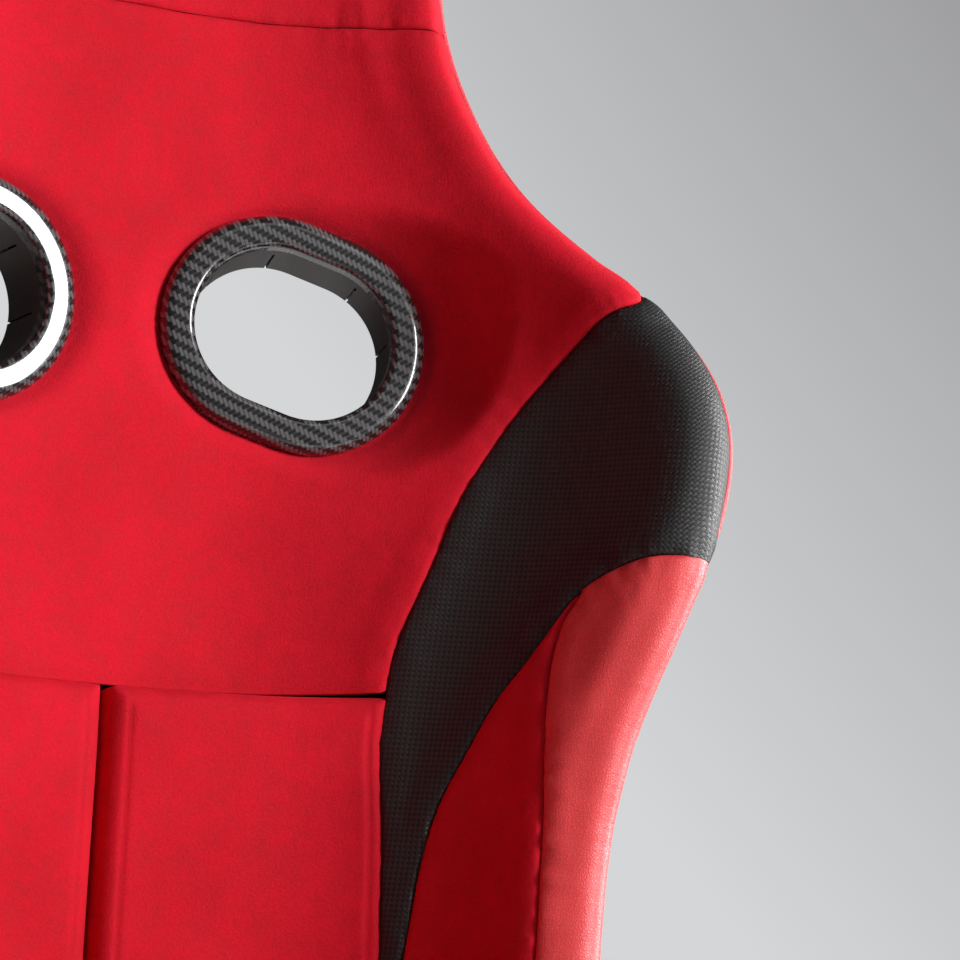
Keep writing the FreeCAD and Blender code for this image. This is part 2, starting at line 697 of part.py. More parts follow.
def build_cage():
    """Strip that keeps the balls apart."""
    cage = box(RAIL_X - 17, RAIL_X + 17, -CAGE_LENGTH / 2, CAGE_LENGTH / 2, BALL_Z - 1, BALL_Z + 1)
    window = box(RAIL_X - 8, RAIL_X + 8, -CAGE_LENGTH / 2 + 8, -22, 0, 20)
    holes = [window, window.mirror(Vector(0, 0, 0), Vector(0, 1, 0))]
    for x in (-BALL_X, BALL_X):
        for y in BALL_YS:
            holes.append(rod(BALL_R + RUN_GAP, (RAIL_X + x, y, 0), (RAIL_X + x, y, 20)))
    return cage.cut(holes)


def build_balls():
    places = [Vector(RAIL_X + x, y, BALL_Z) for x in (-BALL_X, BALL_X) for y in BALL_YS]
    return Part.makeCompound([Part.makeSphere(BALL_R, place) for place in places])


def build_feet():
    """Plates under both ends of a rail, each with one floor bolt hole."""
    feet = []
    for side in (-1, 1):
        bolt = side * FOOT_PITCH_Y / 2
        near, far = side * (LOWER_LENGTH / 2 - 25), bolt + side * 17
        foot = box(RAIL_X - RAIL_HALF, RAIL_X + RAIL_HALF, min(near, far), max(near, far), 0, FOOT_Z)
        corners = [e for e in foot.Edges if abs(e.tangentAt(e.FirstParameter).z) > 0.9]
        foot = foot.makeFillet(7, [e for e in corners if abs(e.CenterOfMass.y) > FOOT_PITCH_Y / 2])
        feet.append(foot.cut(rod(FOOT_HOLE_R, (RAIL_X, bolt, -5), (RAIL_X, bolt, 10))))
    return Part.makeCompound(feet)


# ---------------------------------------------------------------- side mounts
def build_bracket():
    """Steel side mount: a foot on the upper rail, two towers for the seat bolts and ears for the latch."""
    x0, x1 = SIDE_FACE_X, SIDE_FACE_X + BRACKET_WALL
    z0, z1 = UPPER_TOP, SIDE_BOLT_Z
    front, rear = SIDE_BOLT_Y
    outline = [
        (front - 17, z0), (rear + 17, z0), (rear + 17, z1 + 17), (rear - 17, z1 + 17), (rear - 38, z0 + 46),
        (front + 38, z0 + 46), (front + 17, z1 + 17), (front - 17, z1 + 17),
    ]
    ring = [Vector(x0, y, z) for y, z in outline]
    plate = Part.Face(Part.makePolygon(ring + ring[:1])).extrude(Vector(BRACKET_WALL, 0, 0))
    corners = []
    for e in plate.Edges:
        if abs(e.tangentAt(e.FirstParameter).x) > 0.9 and e.CenterOfMass.z > z0 + 1:
            corners.append(e)
    plate = plate.makeFillet(13, corners)
    foot = box(RAIL_X - 18, x1, front - 17, rear + 17, z0, z0 + BRACKET_WALL)
    tab = box(ARM_X - 10, RAIL_X - 17, PIVOT_Y - 12, COMB_Y + 36, z0, z0 + BRACKET_WALL)
    ear = box(ARM_X - 10, ARM_X - 7, PIVOT_Y - 9, PIVOT_Y + 9, PIVOT_Z - 8, z0 + 1)
    bracket = plate.fuse([foot, tab, ear])
    for y in (COMB_Y - 33, COMB_Y + 33):
        bracket = bracket.fuse(box(COMB_X - 7, COMB_X + 7, y - 2.5, y + 2.5, COMB_Z - 6, z0 + 1))
    holes = [rod(BOLT_R + BOLT_FIT, (x0 - 5, y, SIDE_BOLT_Z), (x1 + 5, y, SIDE_BOLT_Z)) for y in SIDE_BOLT_Y]
    holes += [rod(BOLT_R + BOLT_FIT, (RAIL_X, y, 30), (RAIL_X, y, 60)) for y in RAIL_BOLT_Y]
    holes.append(rod(PIVOT_R + RUN_GAP, (ARM_X - 15, PIVOT_Y, PIVOT_Z), (ARM_X - 5, PIVOT_Y, PIVOT_Z)))
    holes.append(rod(PIVOT_R + 0.02, (COMB_X, COMB_Y - 60, COMB_Z), (COMB_X, COMB_Y + 60, COMB_Z)))
    middle = (front + rear) / 2
    for y in (middle - 60, middle, middle + 60):
        holes.append(rod(14, (x0 - 5, y, z0 + 25), (x1 + 5, y, z0 + 25)))
    return bracket.cut(holes).removeSplitter()


def build_bosses():
    """Turned spacers between the shell's sides and the bracket, cut to the shell's curve."""
    filler = layer(760, 1300, 0.15, 1.0, -SHELL_WALL - 0.2, 30, 50, 24)
    bosses = []
    for y in SIDE_BOLT_Y:
        boss = rod(BOSS_R, (SIDE_FACE_X - BOSS_REACH, y, SIDE_BOLT_Z), (SIDE_FACE_X, y, SIDE_BOLT_Z)).cut(filler)
        boss = max(boss.Solids, key=lambda solid: solid.CenterOfMass.x)
        tap = rod(BOLT_R + BOLT_FIT, (SIDE_FACE_X - BOLT_REACH - 1, y, SIDE_BOLT_Z), (SIDE_FACE_X + 5, y, SIDE_BOLT_Z))
        bosses.append(boss.cut(tap))
    return Part.makeCompound(bosses)


def build_side_bolts():
    x = SIDE_FACE_X + BRACKET_WALL + 1.6
    bolts = []
    for y in SIDE_BOLT_Y:
        head = hex_head(13, 5.3, (x, y, SIDE_BOLT_Z), (1, 0, 0))
        bolts.append(head.fuse(rod(BOLT_R, (SIDE_FACE_X - BOLT_REACH, y, SIDE_BOLT_Z), (x + 1, y, SIDE_BOLT_Z))))
    return Part.makeCompound(bolts)


def build_side_washers():
    x = SIDE_FACE_X + BRACKET_WALL
    rings = []
    for y in SIDE_BOLT_Y:
        ring = rod(8.5, (x, y, SIDE_BOLT_Z), (x + 1.6, y, SIDE_BOLT_Z))
        rings.append(ring.cut(rod(BOLT_R + BOLT_FIT, (x - 1, y, SIDE_BOLT_Z), (x + 3, y, SIDE_BOLT_Z))))
    return Part.makeCompound(rings)


def build_rail_bolts():
    z = UPPER_TOP + BRACKET_WALL
    bolts = []
    for y in RAIL_BOLT_Y:
        head = hex_head(13, 5.3, (RAIL_X, y, z), (0, 0, 1))
        bolts.append(head.fuse(rod(BOLT_R, (RAIL_X, y, z - 12), (RAIL_X, y, z + 1))))
    return Part.makeCompound(bolts)


# ---------------------------------------------------------------- latch and release bar
def build_comb():
    """Toothed plate that swings on a rod and locks the rail; the teeth stand just clear of the notches."""
    half = 28.0
    barrel = rod(5.2, (COMB_X, COMB_Y - half, COMB_Z), (COMB_X, COMB_Y + half, COMB_Z))
    comb = barrel.fuse(box(COMB_X - 1.5, COMB_X + 1.5, COMB_Y - half, COMB_Y + half, 14, COMB_Z))
    wall = RAIL_X - RAIL_HALF
    for k in (-1, 0, 1):
        y = COMB_Y + (k + 0.5) * NOTCH_PITCH - NOTCH_PITCH / 2
        comb = comb.fuse(box(COMB_X, wall - SLIDE_GAP, y - 3.5, y + 3.5, 16, 20))
    bore = rod(PIVOT_R + RUN_GAP, (COMB_X, COMB_Y - 60, COMB_Z), (COMB_X, COMB_Y + 60, COMB_Z))
    return comb.cut(bore).removeSplitter()


def build_latch_rod():
    return rod(PIVOT_R, (COMB_X, COMB_Y - 38, COMB_Z), (COMB_X, COMB_Y + 38, COMB_Z))


def build_bar():
    """Release bar: two arms on pivots joined by a cross tube in front of the seat."""
    half = ARM_X
    path = [
        Vector(half, PIVOT_Y, PIVOT_Z), Vector(half, BAR_Y + 34, BAR_Z), Vector(half - 34, BAR_Y, BAR_Z),
        Vector(34 - half, BAR_Y, BAR_Z), Vector(-half, BAR_Y + 34, BAR_Z), Vector(-half, PIVOT_Y, PIVOT_Z),
    ]
    mid = 34 * (1 - math.sqrt(0.5))
    edges = [
        Part.LineSegment(path[0], path[1]).toShape(),
        Part.Arc(path[1], Vector(half - mid, BAR_Y + mid, BAR_Z), path[2]).toShape(),
        Part.LineSegment(path[2], path[3]).toShape(),
        Part.Arc(path[3], Vector(mid - half, BAR_Y + mid, BAR_Z), path[4]).toShape(),
        Part.LineSegment(path[4], path[5]).toShape(),
    ]
    way = path[1] - path[0]
    ring = Part.Wire(Part.makeCircle(BAR_R, path[0], way))
    bar = Part.Wire(edges).makePipeShell([ring], True, True, 2)
    pieces = []
    for side in (-1, 1):
        x = side * ARM_X
        pieces.append(rod(BAR_R + 2, (x - 5.5, PIVOT_Y, PIVOT_Z), (x + 5.5, PIVOT_Y, PIVOT_Z)))
        pieces.append(rod(PIVOT_R, (x, PIVOT_Y, PIVOT_Z), (side * (ARM_X - 12), PIVOT_Y, PIVOT_Z)))
        pieces.append(box(x - 1.5, x + 1.5, PIVOT_Y, COMB_Y - 40, PIVOT_Z - 5, PIVOT_Z + 5))
    return bar.fuse(pieces)


def build_grip():
    tube = rod(BAR_R + 4, (-62, BAR_Y, BAR_Z), (62, BAR_Y, BAR_Z))
    return tube.cut(rod(BAR_R + 0.05, (-70, BAR_Y, BAR_Z), (70, BAR_Y, BAR_Z)))


def build_latch_spring():
    """Torsion spring wound round the end of the latch rod."""
    start = COMB_Y + 36.5
    coil = Part.makeHelix(1.7, 6.8, PIVOT_R + 1.0)
    ring = Part.Wire(Part.makeCircle(0.7, Vector(PIVOT_R + 1.0, 0, 0), Vector(0, 1, 0.1)))
    spring = Part.Wire(coil.Edges).makePipeShell([ring], True, True)
    spring.rotate(Vector(0, 0, 0), Vector(1, 0, 0), -90)
    spring.translate(Vector(COMB_X, start, COMB_Z))
    return spring


# ---------------------------------------------------------------- belt slot grommets
def build_lap_grommet():
    """Lipped ring inside the lap belt slot, standing out of the cover and the shell."""
    solid = lap_prism(-0.3, 110, 260).cut(lap_prism(-3.3, 100, 280))
    cover = layer(760, 1000, 0.52, 1.0, -SHELL_WALL - 3, BOLSTER_FOAM + 5, 40, 20)
    return max(solid.common(cover).Solids, key=lambda piece: piece.Volume)


def build_crotch_grommet():
    solid = crotch_prism(-0.3, 20, 180).cut(crotch_prism(-3.3, 0, 200))
    slab = layer(1000, 1200, -0.45, 0.45, -SHELL_WALL - 3, BASE_FELT + 4, 30, 16)
    return max(solid.common(slab).Solids, key=lambda piece: piece.Volume)


# ---------------------------------------------------------------- the row
def build_all():
    nodes = {"seat_shell": build_shell()}
    nodes.update(build_soft())
    nodes["crotch_grommet"] = build_crotch_grommet()
    sides = {
        "harness_bezel": build_bezel,
        "harness_sleeve": build_sleeve,
        "harness_ring": build_rear_ring,
        "lap_grommet": build_lap_grommet,
        "mount_boss": build_bosses,
        "side_bracket": build_bracket,
        "upper_rail": build_upper_rail,
        "lower_rail": build_lower_rail,
        "rail_feet": build_feet,
        "ball_cage": build_cage,
        "rail_balls": build_balls,
        "latch_comb": build_comb,
        "latch_rod": build_latch_rod,
        "latch_spring": build_latch_spring,
    }
    for name, build in sides.items():
        shape = build()
        nodes[name + "_right"] = shape
        nodes[name + "_left"] = mirrored(shape)
    for name, build in (("side_bolts", build_side_bolts), ("side_washers", build_side_washers),
                        ("rail_bolts", build_rail_bolts)):
        shape = build()
        nodes[name] = Part.makeCompound(shape.Solids + mirrored(shape).Solids)
    nodes["release_bar"] = build_bar()
    nodes["bar_grip"] = build_grip()
    return nodes


os.makedirs("parts", exist_ok=True)
for node_name, node_shape in build_all().items():
    node_shape.exportStep("parts/" + node_name + ".step")
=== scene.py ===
"""Studio model of a padded bucket seat on slide rails. Lengths of the sewing pattern are in millimetres."""

import math
import bpy
import numpy as np
from mathutils import Matrix, Vector
from mathutils.geometry import delaunay_2d_cdt


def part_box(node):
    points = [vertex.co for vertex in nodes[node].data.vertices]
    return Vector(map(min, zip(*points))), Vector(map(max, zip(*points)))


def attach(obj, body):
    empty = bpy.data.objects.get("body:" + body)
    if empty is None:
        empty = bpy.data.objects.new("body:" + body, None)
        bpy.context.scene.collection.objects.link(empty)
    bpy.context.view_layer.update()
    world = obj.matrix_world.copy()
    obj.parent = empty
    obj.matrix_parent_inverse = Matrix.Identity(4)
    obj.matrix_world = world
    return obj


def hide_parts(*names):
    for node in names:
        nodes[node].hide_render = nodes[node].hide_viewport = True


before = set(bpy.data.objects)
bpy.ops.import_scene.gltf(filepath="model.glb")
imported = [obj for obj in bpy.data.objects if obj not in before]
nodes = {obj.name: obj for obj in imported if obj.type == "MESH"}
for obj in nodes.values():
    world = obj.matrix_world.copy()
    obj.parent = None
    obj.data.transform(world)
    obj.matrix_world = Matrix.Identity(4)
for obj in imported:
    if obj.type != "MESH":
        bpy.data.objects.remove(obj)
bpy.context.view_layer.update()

MM = 0.001
SIDES = ((1, "right"), (-1, "left"))
MIRROR = np.array([-1.0, 1.0, 1.0])


# ---------------------------------------------------------------- sewing pattern on the shell
# Places on the seat are (s, q): s runs down its middle line from the head to the front edge, q across it.
# Each station holds y, z and lean of the middle line, then the section's half width, depth and half flat.
# The whole seat lies lower than its stations by the drop.
SEAT_DROP = 30.0
STATIONS = [
    (342, 985, 0, 68, 6, 44), (343, 972, 1, 102, 16, 64), (343, 945, 3, 125, 28, 78),
    (341, 900, 5, 137, 40, 88), (338, 850, 8, 142, 47, 95), (333, 800, 11, 147, 53, 102),
    (325, 755, 13, 161, 62, 112), (314, 705, 14, 191, 78, 124), (300, 645, 15, 240, 126, 128),
    (285, 585, 16, 262, 155, 126),
    (266, 510, 16, 247, 155, 122), (247, 430, 17, 218, 142, 118), (230, 350, 18, 207, 140, 118),
    (212, 270, 24, 204, 146, 126), (190, 195, 38, 204, 157, 144), (150, 128, 58, 205, 165, 162),
    (85, 92, 75, 208, 165, 172), (-5, 88, 89, 212, 152, 178), (-105, 112, 97, 216, 128, 180),
    (-195, 140, 100, 218, 100, 180), (-262, 160, 101, 214, 70, 172), (-300, 160, 108, 186, 38, 140),
]
WALL_FLARE, WALL_KNEE = 0.22, 0.36
# Padding in the middle and on the sides, how far it rolls past the rim, and the depth of a full side.
BACK_FOAM, BOLSTER_FOAM, NOSE_REACH, DEEP_WING = 26.0, 40.0, 17.0, 110.0
HEAD_TOP, S_NECK, S_BACK_END, S_BOLSTER_END, S_FRONT = 3.0, 190.0, 533.5, 702.0, 1318.0
BACK_INNER, WAIST_INNER, HIP_INNER = 0.405, 0.81, 0.485
# Extra filling along the front of the side rolls, from the shoulder down.
NOSE_FILL, NOSE_Q, NOSE_WIDTH, NOSE_START, NOSE_RISE = 7.5, 0.925, 0.05, 430.0, 90.0
HEAD_ROLL, FRONT_ROLL = 26.0, 24.0
Q_TO_MM = 300.0
EDGE_STEP = 3.0

SHOULDER_SEAM = [(325, 1.0), (340, 0.90), (352, 0.73), (368, 0.638), (388, 0.562), (415, 0.494), (440, 0.456)]
SHOULDER_SEAM += [(465, 0.438), (492, 0.419), (515, 0.408), (538, 0.412), (560, 0.42), (588, 0.444)]
SHOULDER_SEAM += [(640, 0.468), (702, 0.485)]
SHOULDER_HEM = [(475, 1.0), (475, 0.93), (475, 0.86), (475, 0.785), (478, 0.731), (485, 0.69), (505, 0.66)]
SHOULDER_HEM += [(522, 0.644), (540, 0.62), (562, 0.6), (588, 0.57), (640, 0.54), (702, 0.515)]
PATCH_SEAM = [(490, 0.683), (502, 0.675), (518, 0.679), (540, 0.70), (565, 0.731), (595, 0.765), (640, 0.79)]
PATCH_SEAM += [(702, 0.80)]

HOLE_X, HOLE_S, HOLE_TILT, HOLE_TURN = 94.5, 350.5, 18.0, 11.0
BEZEL_LENGTH, BEZEL_WIDTH, FLANGE_BACK = 135.0, 115.0, 31.0
SLEEVE_LENGTH, SLEEVE_WIDTH, SLEEVE_ROOM, SLEEVE_REACH = 105.4, 85.4, 10.0, 90.0
DISH_PINCH, DISH_LIP, DISH_SLOPE, DISH_CURVE, DISH_SOFT, DISH_REACH = 0.6, 4.0, 0.55, 0.022, 6.0, 60.0

SEAM_ROLL, SEAM_DEPTH = 3.4, 2.6
SEAM_ROWS = (0.6, 1.3, 2.2, 3.3, 4.6)
PANEL_WALL = 2.4
FELT_WALL, FELT_HEIGHT, FELT_HALF = 7.0, 8.0, 0.44
PIPING_HEIGHT, PIPING_REACH, PIPING_RADIUS = -1.0, 6.2, 2.1
LUMBAR_TOP, LUMBAR_END, LUMBAR_FACE, LUMBAR_FOOT = 534.5, 742.0, 45.0, 9.0
LUMBAR_ROLL, LUMBAR_CORNER, LUMBAR_GAP, LUMBAR_TUCK, LUMBAR_COUNT = 11.0, 5.0, 1.8, 4.0, 70
PAD_VOXEL, PAD_SHRINK, PAD_CAP, PAD_PRESSURE, PAD_FRAMES = 0.0045, 1.2, 6.0, 4.0, 20
CHANNEL_HEIGHT, CHANNEL_HALF = 52.0, 0.30
SEAT_CHANNELS, THIGH_CHANNELS = (895.0, 955.0, 1015.0), (1160.0, 1230.0)


class Curve:
    """Natural cubic spline through rows of values, read at many places at once."""

    def __init__(self, places, rows):
        self.x, self.y = np.asarray(places, float), np.asarray(rows, float)
        n, h = len(self.x), np.diff(self.x)
        band = np.eye(n)
        pull = np.zeros_like(self.y)
        for i in range(1, n - 1):
            band[i, i - 1:i + 2] = h[i - 1], 2 * (h[i - 1] + h[i]), h[i]
            pull[i] = 6 * ((self.y[i + 1] - self.y[i]) / h[i] - (self.y[i] - self.y[i - 1]) / h[i - 1])
        self.m = np.linalg.solve(band, pull)

    def __call__(self, at):
        at = np.asarray(at, float)
        i = np.clip(np.searchsorted(self.x, at) - 1, 0, len(self.x) - 2)
        h = self.x[i + 1] - self.x[i]
        a, b = (self.x[i + 1] - at) / h, (at - self.x[i]) / h
        wide = (...,) + (None,) * (self.y.ndim - 1)
        bend = ((a ** 3 - a)[wide] * self.m[i] + (b ** 3 - b)[wide] * self.m[i + 1]) * (h * h / 6)[wide]
        return a[wide] * self.y[i] + b[wide] * self.y[i + 1] + bend


def run_lengths(points):
    steps = np.linalg.norm(np.diff(np.asarray(points, float), axis=0), axis=-1)
    return np.concatenate([[0.0], np.cumsum(steps)])


SPINE_AT = run_lengths([row[:2] for row in STATIONS])
SPINE = Curve(SPINE_AT, STATIONS)
S_END = SPINE_AT[-1]
COVER_AT = np.array([0, 0.15, 0.3, 0.45, 0.6, 0.74, 0.84, 0.93, 1.0])
ACROSS = Curve(np.concatenate([-COVER_AT[:0:-1], COVER_AT]), np.eye(2 * len(COVER_AT) - 1))


def section(s):
    y, z, lean, width, depth, flat = np.moveaxis(SPINE(s), -1, 0)
    lean = np.radians(lean)
    zero = np.zeros_like(y)
    centre = np.stack([zero, y, z - SEAT_DROP], -1)
    inward = np.stack([zero, -np.cos(lean), np.sin(lean)], -1)
    return centre, inward, width, depth, flat


def wall(width, depth, flat, v):
    """Place (x, n) and direction of the shell's inner face, v from 0 in the middle to 1 at the rim."""
    px = np.stack([flat, width - (width - flat) * WALL_FLARE, width], -1)
    pn = np.stack([flat * 0, depth * WALL_KNEE, depth], -1)
    b = np.stack([3 * v * (1 - v) ** 2, 3 * v * v * (1 - v), v ** 3], -1)
    d = np.stack([3 * (1 - v) ** 2 - 6 * v * (1 - v), 6 * v * (1 - v) - 3 * v * v, 3 * v * v], -1)
    place = np.stack([(b * px).sum(-1), (b * pn).sum(-1)], -1)
    way = np.stack([(d * px).sum(-1), (d * pn).sum(-1)], -1)
    return place, way / np.linalg.norm(way, axis=-1, keepdims=True)


def off_wall(place, way, height, along=0.0):
    height, along = np.asarray(height, float), np.asarray(along, float)
    across = np.stack([-way[..., 1], way[..., 0]], -1)
    return place + across * height[..., None] + way * along[..., None]


def shell(s, v, height=0.0):
    """Points standing off the shell's inner face."""
    s, v, height = np.broadcast_arrays(np.asarray(s, float), v, height)
    centre, inward, width, depth, flat = section(s)
    place, way = wall(width, depth, flat, np.abs(v))
    xn = off_wall(place, way, height)
    side = np.where(v < 0, -1.0, 1.0)
    return centre + inward * xn[..., 1:] + np.stack([xn[..., 0] * side, s * 0, s * 0], -1)


def rim(s, height, along):
    """Points about the shell's edge on the right."""
    s, height, along = np.broadcast_arrays(np.asarray(s, float), height, along)
    centre, inward, width, depth, flat = section(s)
    place, way = wall(width, depth, flat, np.ones_like(s))
    xn = off_wall(place, way, height, along)
    return centre + inward * xn[..., 1:] + np.stack([xn[..., 0], s * 0, s * 0], -1)


def cover(s, q):
    """Points on the upholstery's face, q from -1 at the left rim to 1 at the right."""
    s, q = np.broadcast_arrays(np.asarray(s, float), np.asarray(q, float))
    centre, inward, width, depth, flat = section(s)
    share = np.minimum(1.0, depth / DEEP_WING)
    bolster = BACK_FOAM + (BOLSTER_FOAM - BACK_FOAM) * share
    knots = []
    foam = np.full_like(s, BACK_FOAM)
    between = (foam + bolster) / 2
    for v, height in ((0.0, foam), (0.18, foam), (0.36, between), (0.55, bolster), (0.75, bolster)):
        place, way = wall(width, depth, flat, np.full_like(s, v))
        knots.append(off_wall(place, way, height))
    place, way = wall(width, depth, flat, np.ones_like(s))
    knots.append(off_wall(place, way, bolster * (0.65 + 0.30 * share), -4 * share))
    knots.append(off_wall(place, way, bolster * (0.36 + 0.36 * share), NOSE_REACH * (0.32 + 0.50 * share)))
    knots.append(off_wall(place, way, bolster * (0.15 + 0.15 * share), NOSE_REACH * (0.52 + 0.48 * share)))
    knots.append(off_wall(place, way, -3.0 + s * 0, 5.0 + s * 0))
    right = np.stack(knots, -2)
    left = right[..., :0:-1, :] * np.array([-1.0, 1.0])
    xn = np.einsum("...k,...kc->...c", ACROSS(q), np.concatenate([left, right], -2))
    return centre + inward * xn[..., 1:] + np.stack([xn[..., 0], s * 0, s * 0], -1)


def unit(v):
    return v / np.maximum(np.linalg.norm(v, axis=-1, keepdims=True), 1e-9)


def cover_normal(s, q, ds=0.6, dq=0.003):
    """Outward normal of the upholstery's face."""
    down = cover(s + ds, q) - cover(s - ds, q)
    across = cover(s, q + dq) - cover(s, q - dq)
    return unit(np.cross(down, across))


# ---------------------------------------------------------------- harness openings
def hole_frame():
    centre, inward, *_ = section(np.array(HOLE_S))
    turn, tilt = math.radians(HOLE_TURN), math.radians(HOLE_TILT)
    up = np.array([0, inward[2], -inward[1]])
    across = np.array([math.cos(turn), 0, 0]) + inward * math.sin(turn)
    long_axis = across * math.cos(tilt) - up * math.sin(tilt)
    short_axis = across * math.sin(tilt) + up * math.cos(tilt)
    return centre + np.array([HOLE_X, 0, 0]), long_axis, short_axis, np.cross(long_axis, short_axis)


HOLE = hole_frame()


def hole_place(points, side):
    """Place of points in one opening's own frame: along, across and out of it."""
    centre, long_axis, short_axis, normal = HOLE
    rel = (points * (MIRROR if side < 0 else 1.0)) - centre
    return rel @ long_axis, rel @ short_axis, rel @ normal


def obround_distance(a, b, length, width):
    """Distance outside a shape with round ends; negative inside it."""
    return np.hypot(np.maximum(np.abs(a) - (length - width) / 2, 0), b) - width / 2


def smooth_min(a, b, soft):
    share = np.clip(0.5 + 0.5 * (b - a) / soft, 0, 1)
    return b * (1 - share) + a * share - soft * share * (1 - share)


def dished(points):
    """Padding drawn down under and around the bezels."""
    points = points.copy()
    for side in (1, -1):
        a, b, n = hole_place(points, side)
        d = obround_distance(a, b, BEZEL_LENGTH, BEZEL_WIDTH)
        out = np.maximum(d, 0)
        lip = DISH_LIP * (1 - np.exp(-out / DISH_LIP))
        allowed = FLANGE_BACK - DISH_PINCH + lip + DISH_SLOPE * out + DISH_CURVE * out ** 2
        lower = smooth_min(n, allowed, DISH_SOFT)
        near = (d < DISH_REACH) & (n > 0)
        push = np.where(near, lower - n, 0.0)[..., None] * HOLE[3]
        points += push * (MIRROR if side < 0 else 1.0)
    return points


# ---------------------------------------------------------------- noise and seams
def lattice_noise(x, y, seed):
    """Smooth noise from -1 to 1 over two coordinates, the same on every run."""
    def corner(i, j):
        h = np.sin(i * 127.1 + j * 311.7 + seed * 74.7) * 43758.5453
        return (h - np.floor(h)) * 2 - 1
    i, j = np.floor(x), np.floor(y)
    u, v = x - i, y - j
    u, v = u * u * (3 - 2 * u), v * v * (3 - 2 * v)
    top = corner(i, j) * (1 - u) + corner(i + 1, j) * u
    low = corner(i, j + 1) * (1 - u) + corner(i + 1, j + 1) * u
    return top * (1 - v) + low * v


def along(line, count):
    """Evenly spaced (s, q) places on a spline through a seam's places."""
    line = np.asarray(line, float)
    at = run_lengths(line * [1, Q_TO_MM])
    return Curve(at, line)(np.linspace(0, at[-1], count))


def down_edge(start, end, q, count):
    """Places down an edge that keeps its q, one step clear of the corners at its ends."""
    step = math.copysign(EDGE_STEP, end - start)
    return [(s, q) for s in np.linspace(start + step, end - step, count)]


def cross_edge(s, start, end, count):
    return [(s, q) for q in np.linspace(start, end, count)]


def sided(places, side):
    return [(s, q * side) for s, q in places]


def seam_points(line, count=500):
    places = along(line, count)
    return dished(cover(places[:, 0], places[:, 1]))


SEAMS = {}
for word, line in (("shoulder", SHOULDER_SEAM), ("hem", SHOULDER_HEM), ("patch", PATCH_SEAM)):
    for side, hand in SIDES:
        SEAMS[word + "_" + hand] = seam_points(sided(line, side))
SEAMS["neck"] = seam_points(cross_edge(S_NECK, -1, 1, 21), 600)
for side, hand in SIDES:
    SEAMS["hip_" + hand] = seam_points(sided(cross_edge(S_BOLSTER_END, HIP_INNER, 1, 12), side), 300)


def seam_field(points):
    """Distance to the nearest seam, and a running length along it that tells its stitches apart."""
    flat = points.reshape(-1, 3)
    best = np.full(len(flat), 1e9)
    run = np.zeros(len(flat))
    for k, line in enumerate(SEAMS.values()):
        low, high = line.min(0) - 30, line.max(0) + 30
        close_by = np.where(((flat > low) & (flat < high)).all(1))[0]
        lengths = run_lengths(line) + k * 1000
        for start in range(0, len(close_by), 4000):
            pick = close_by[start:start + 4000]
            gap = np.linalg.norm(flat[pick, None] - line[None], axis=-1)
            near = gap.argmin(1)
            d = gap[np.arange(len(pick)), near]
            closer = d < best[pick]
            best[pick[closer]] = d[closer]
            run[pick[closer]] = lengths[near[closer]]
    return best.reshape(points.shape[:-1]), run.reshape(points.shape[:-1])


def seam_relief(points, pucker, seed):
    """How far the cloth dips where it turns into a seam, with the small gathers the thread makes."""
    d, run = seam_field(points)
    t = np.clip(d / SEAM_ROLL, 0, 1)
    dip = -SEAM_DEPTH * (1 - np.sqrt(1 - (1 - t) ** 2))
    swell = 0.7 * np.exp(-((d - 9.0) / 7.0) ** 2)
    gather = lattice_noise(run / 5.5, d / 16.0, seed) + 0.6 * lattice_noise(run / 2.7, d / 9.0, seed + 3)
    gather = gather * pucker * np.exp(-d / 9.0) * np.clip(d / 2.0, 0, 1)
    return dip + swell + gather


# ---------------------------------------------------------------- meshes
def new_piece(name, points, faces, uv=None):
    """A smooth mesh object from points in millimetres, with a map given at each point."""
    mesh = bpy.data.meshes.new(name)
    mesh.from_pydata((np.asarray(points) * MM).tolist(), [], [list(map(int, face)) for face in faces])
    if uv is not None:
        layer = mesh.uv_layers.new(name="pattern")
        loops = np.empty(len(mesh.loops), np.int32)
        mesh.loops.foreach_get("vertex_index", loops)
        layer.data.foreach_set("uv", (np.asarray(uv) * MM)[loops].astype(np.float32).ravel())
    mesh.validate()
    mesh.update()
    mesh.shade_smooth()
    piece = bpy.data.objects.new(name, mesh)
    bpy.context.scene.collection.objects.link(piece)
    return piece


def only(piece):
    bpy.ops.object.select_all(action="DESELECT")
    bpy.context.view_layer.objects.active = piece
    piece.select_set(True)


def apply_all(piece):
    only(piece)
    for modifier in list(piece.modifiers):
        bpy.ops.object.modifier_apply(modifier=modifier.name)


def edit(piece, *steps):
    """Runs mesh operators, each with its settings, on the whole of one piece."""
    only(piece)
    bpy.ops.object.mode_set(mode="EDIT")
    bpy.ops.mesh.select_all(action="SELECT")
    for operator, settings in steps:
        operator(**settings)
    bpy.ops.object.mode_set(mode="OBJECT")


def thicken(piece, wall_mm):
    """Gives a sheet its thickness on the inner side and closes its edges."""
    solid = piece.modifiers.new("thickness", "SOLIDIFY")
    solid.thickness = wall_mm * MM
    solid.offset = -1
    solid.use_even_offset = False
    apply_all(piece)


def finish_piece(piece, slot, *stands_for, fill=None):
    """Puts a finished piece on the seat, with its finish and the nodes it stands for."""
    piece.data.materials.clear()
    piece.data.materials.append(FINISHES[slot])
    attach(piece, "seat")
    if stands_for:
        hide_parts(*stands_for)


ARC_S = np.linspace(0, S_END, 150)
ARC_Q = np.linspace(0, 1, 41)


def lengths_across():
    """Lengths across the cover from its middle line, in rows down the seat."""
    rows = cover(ARC_S[:, None], ARC_Q[None])
    steps = np.linalg.norm(np.diff(rows, axis=1), axis=-1)
    return np.concatenate([np.zeros((len(ARC_S), 1)), np.cumsum(steps, 1)], 1)


ARC = lengths_across()


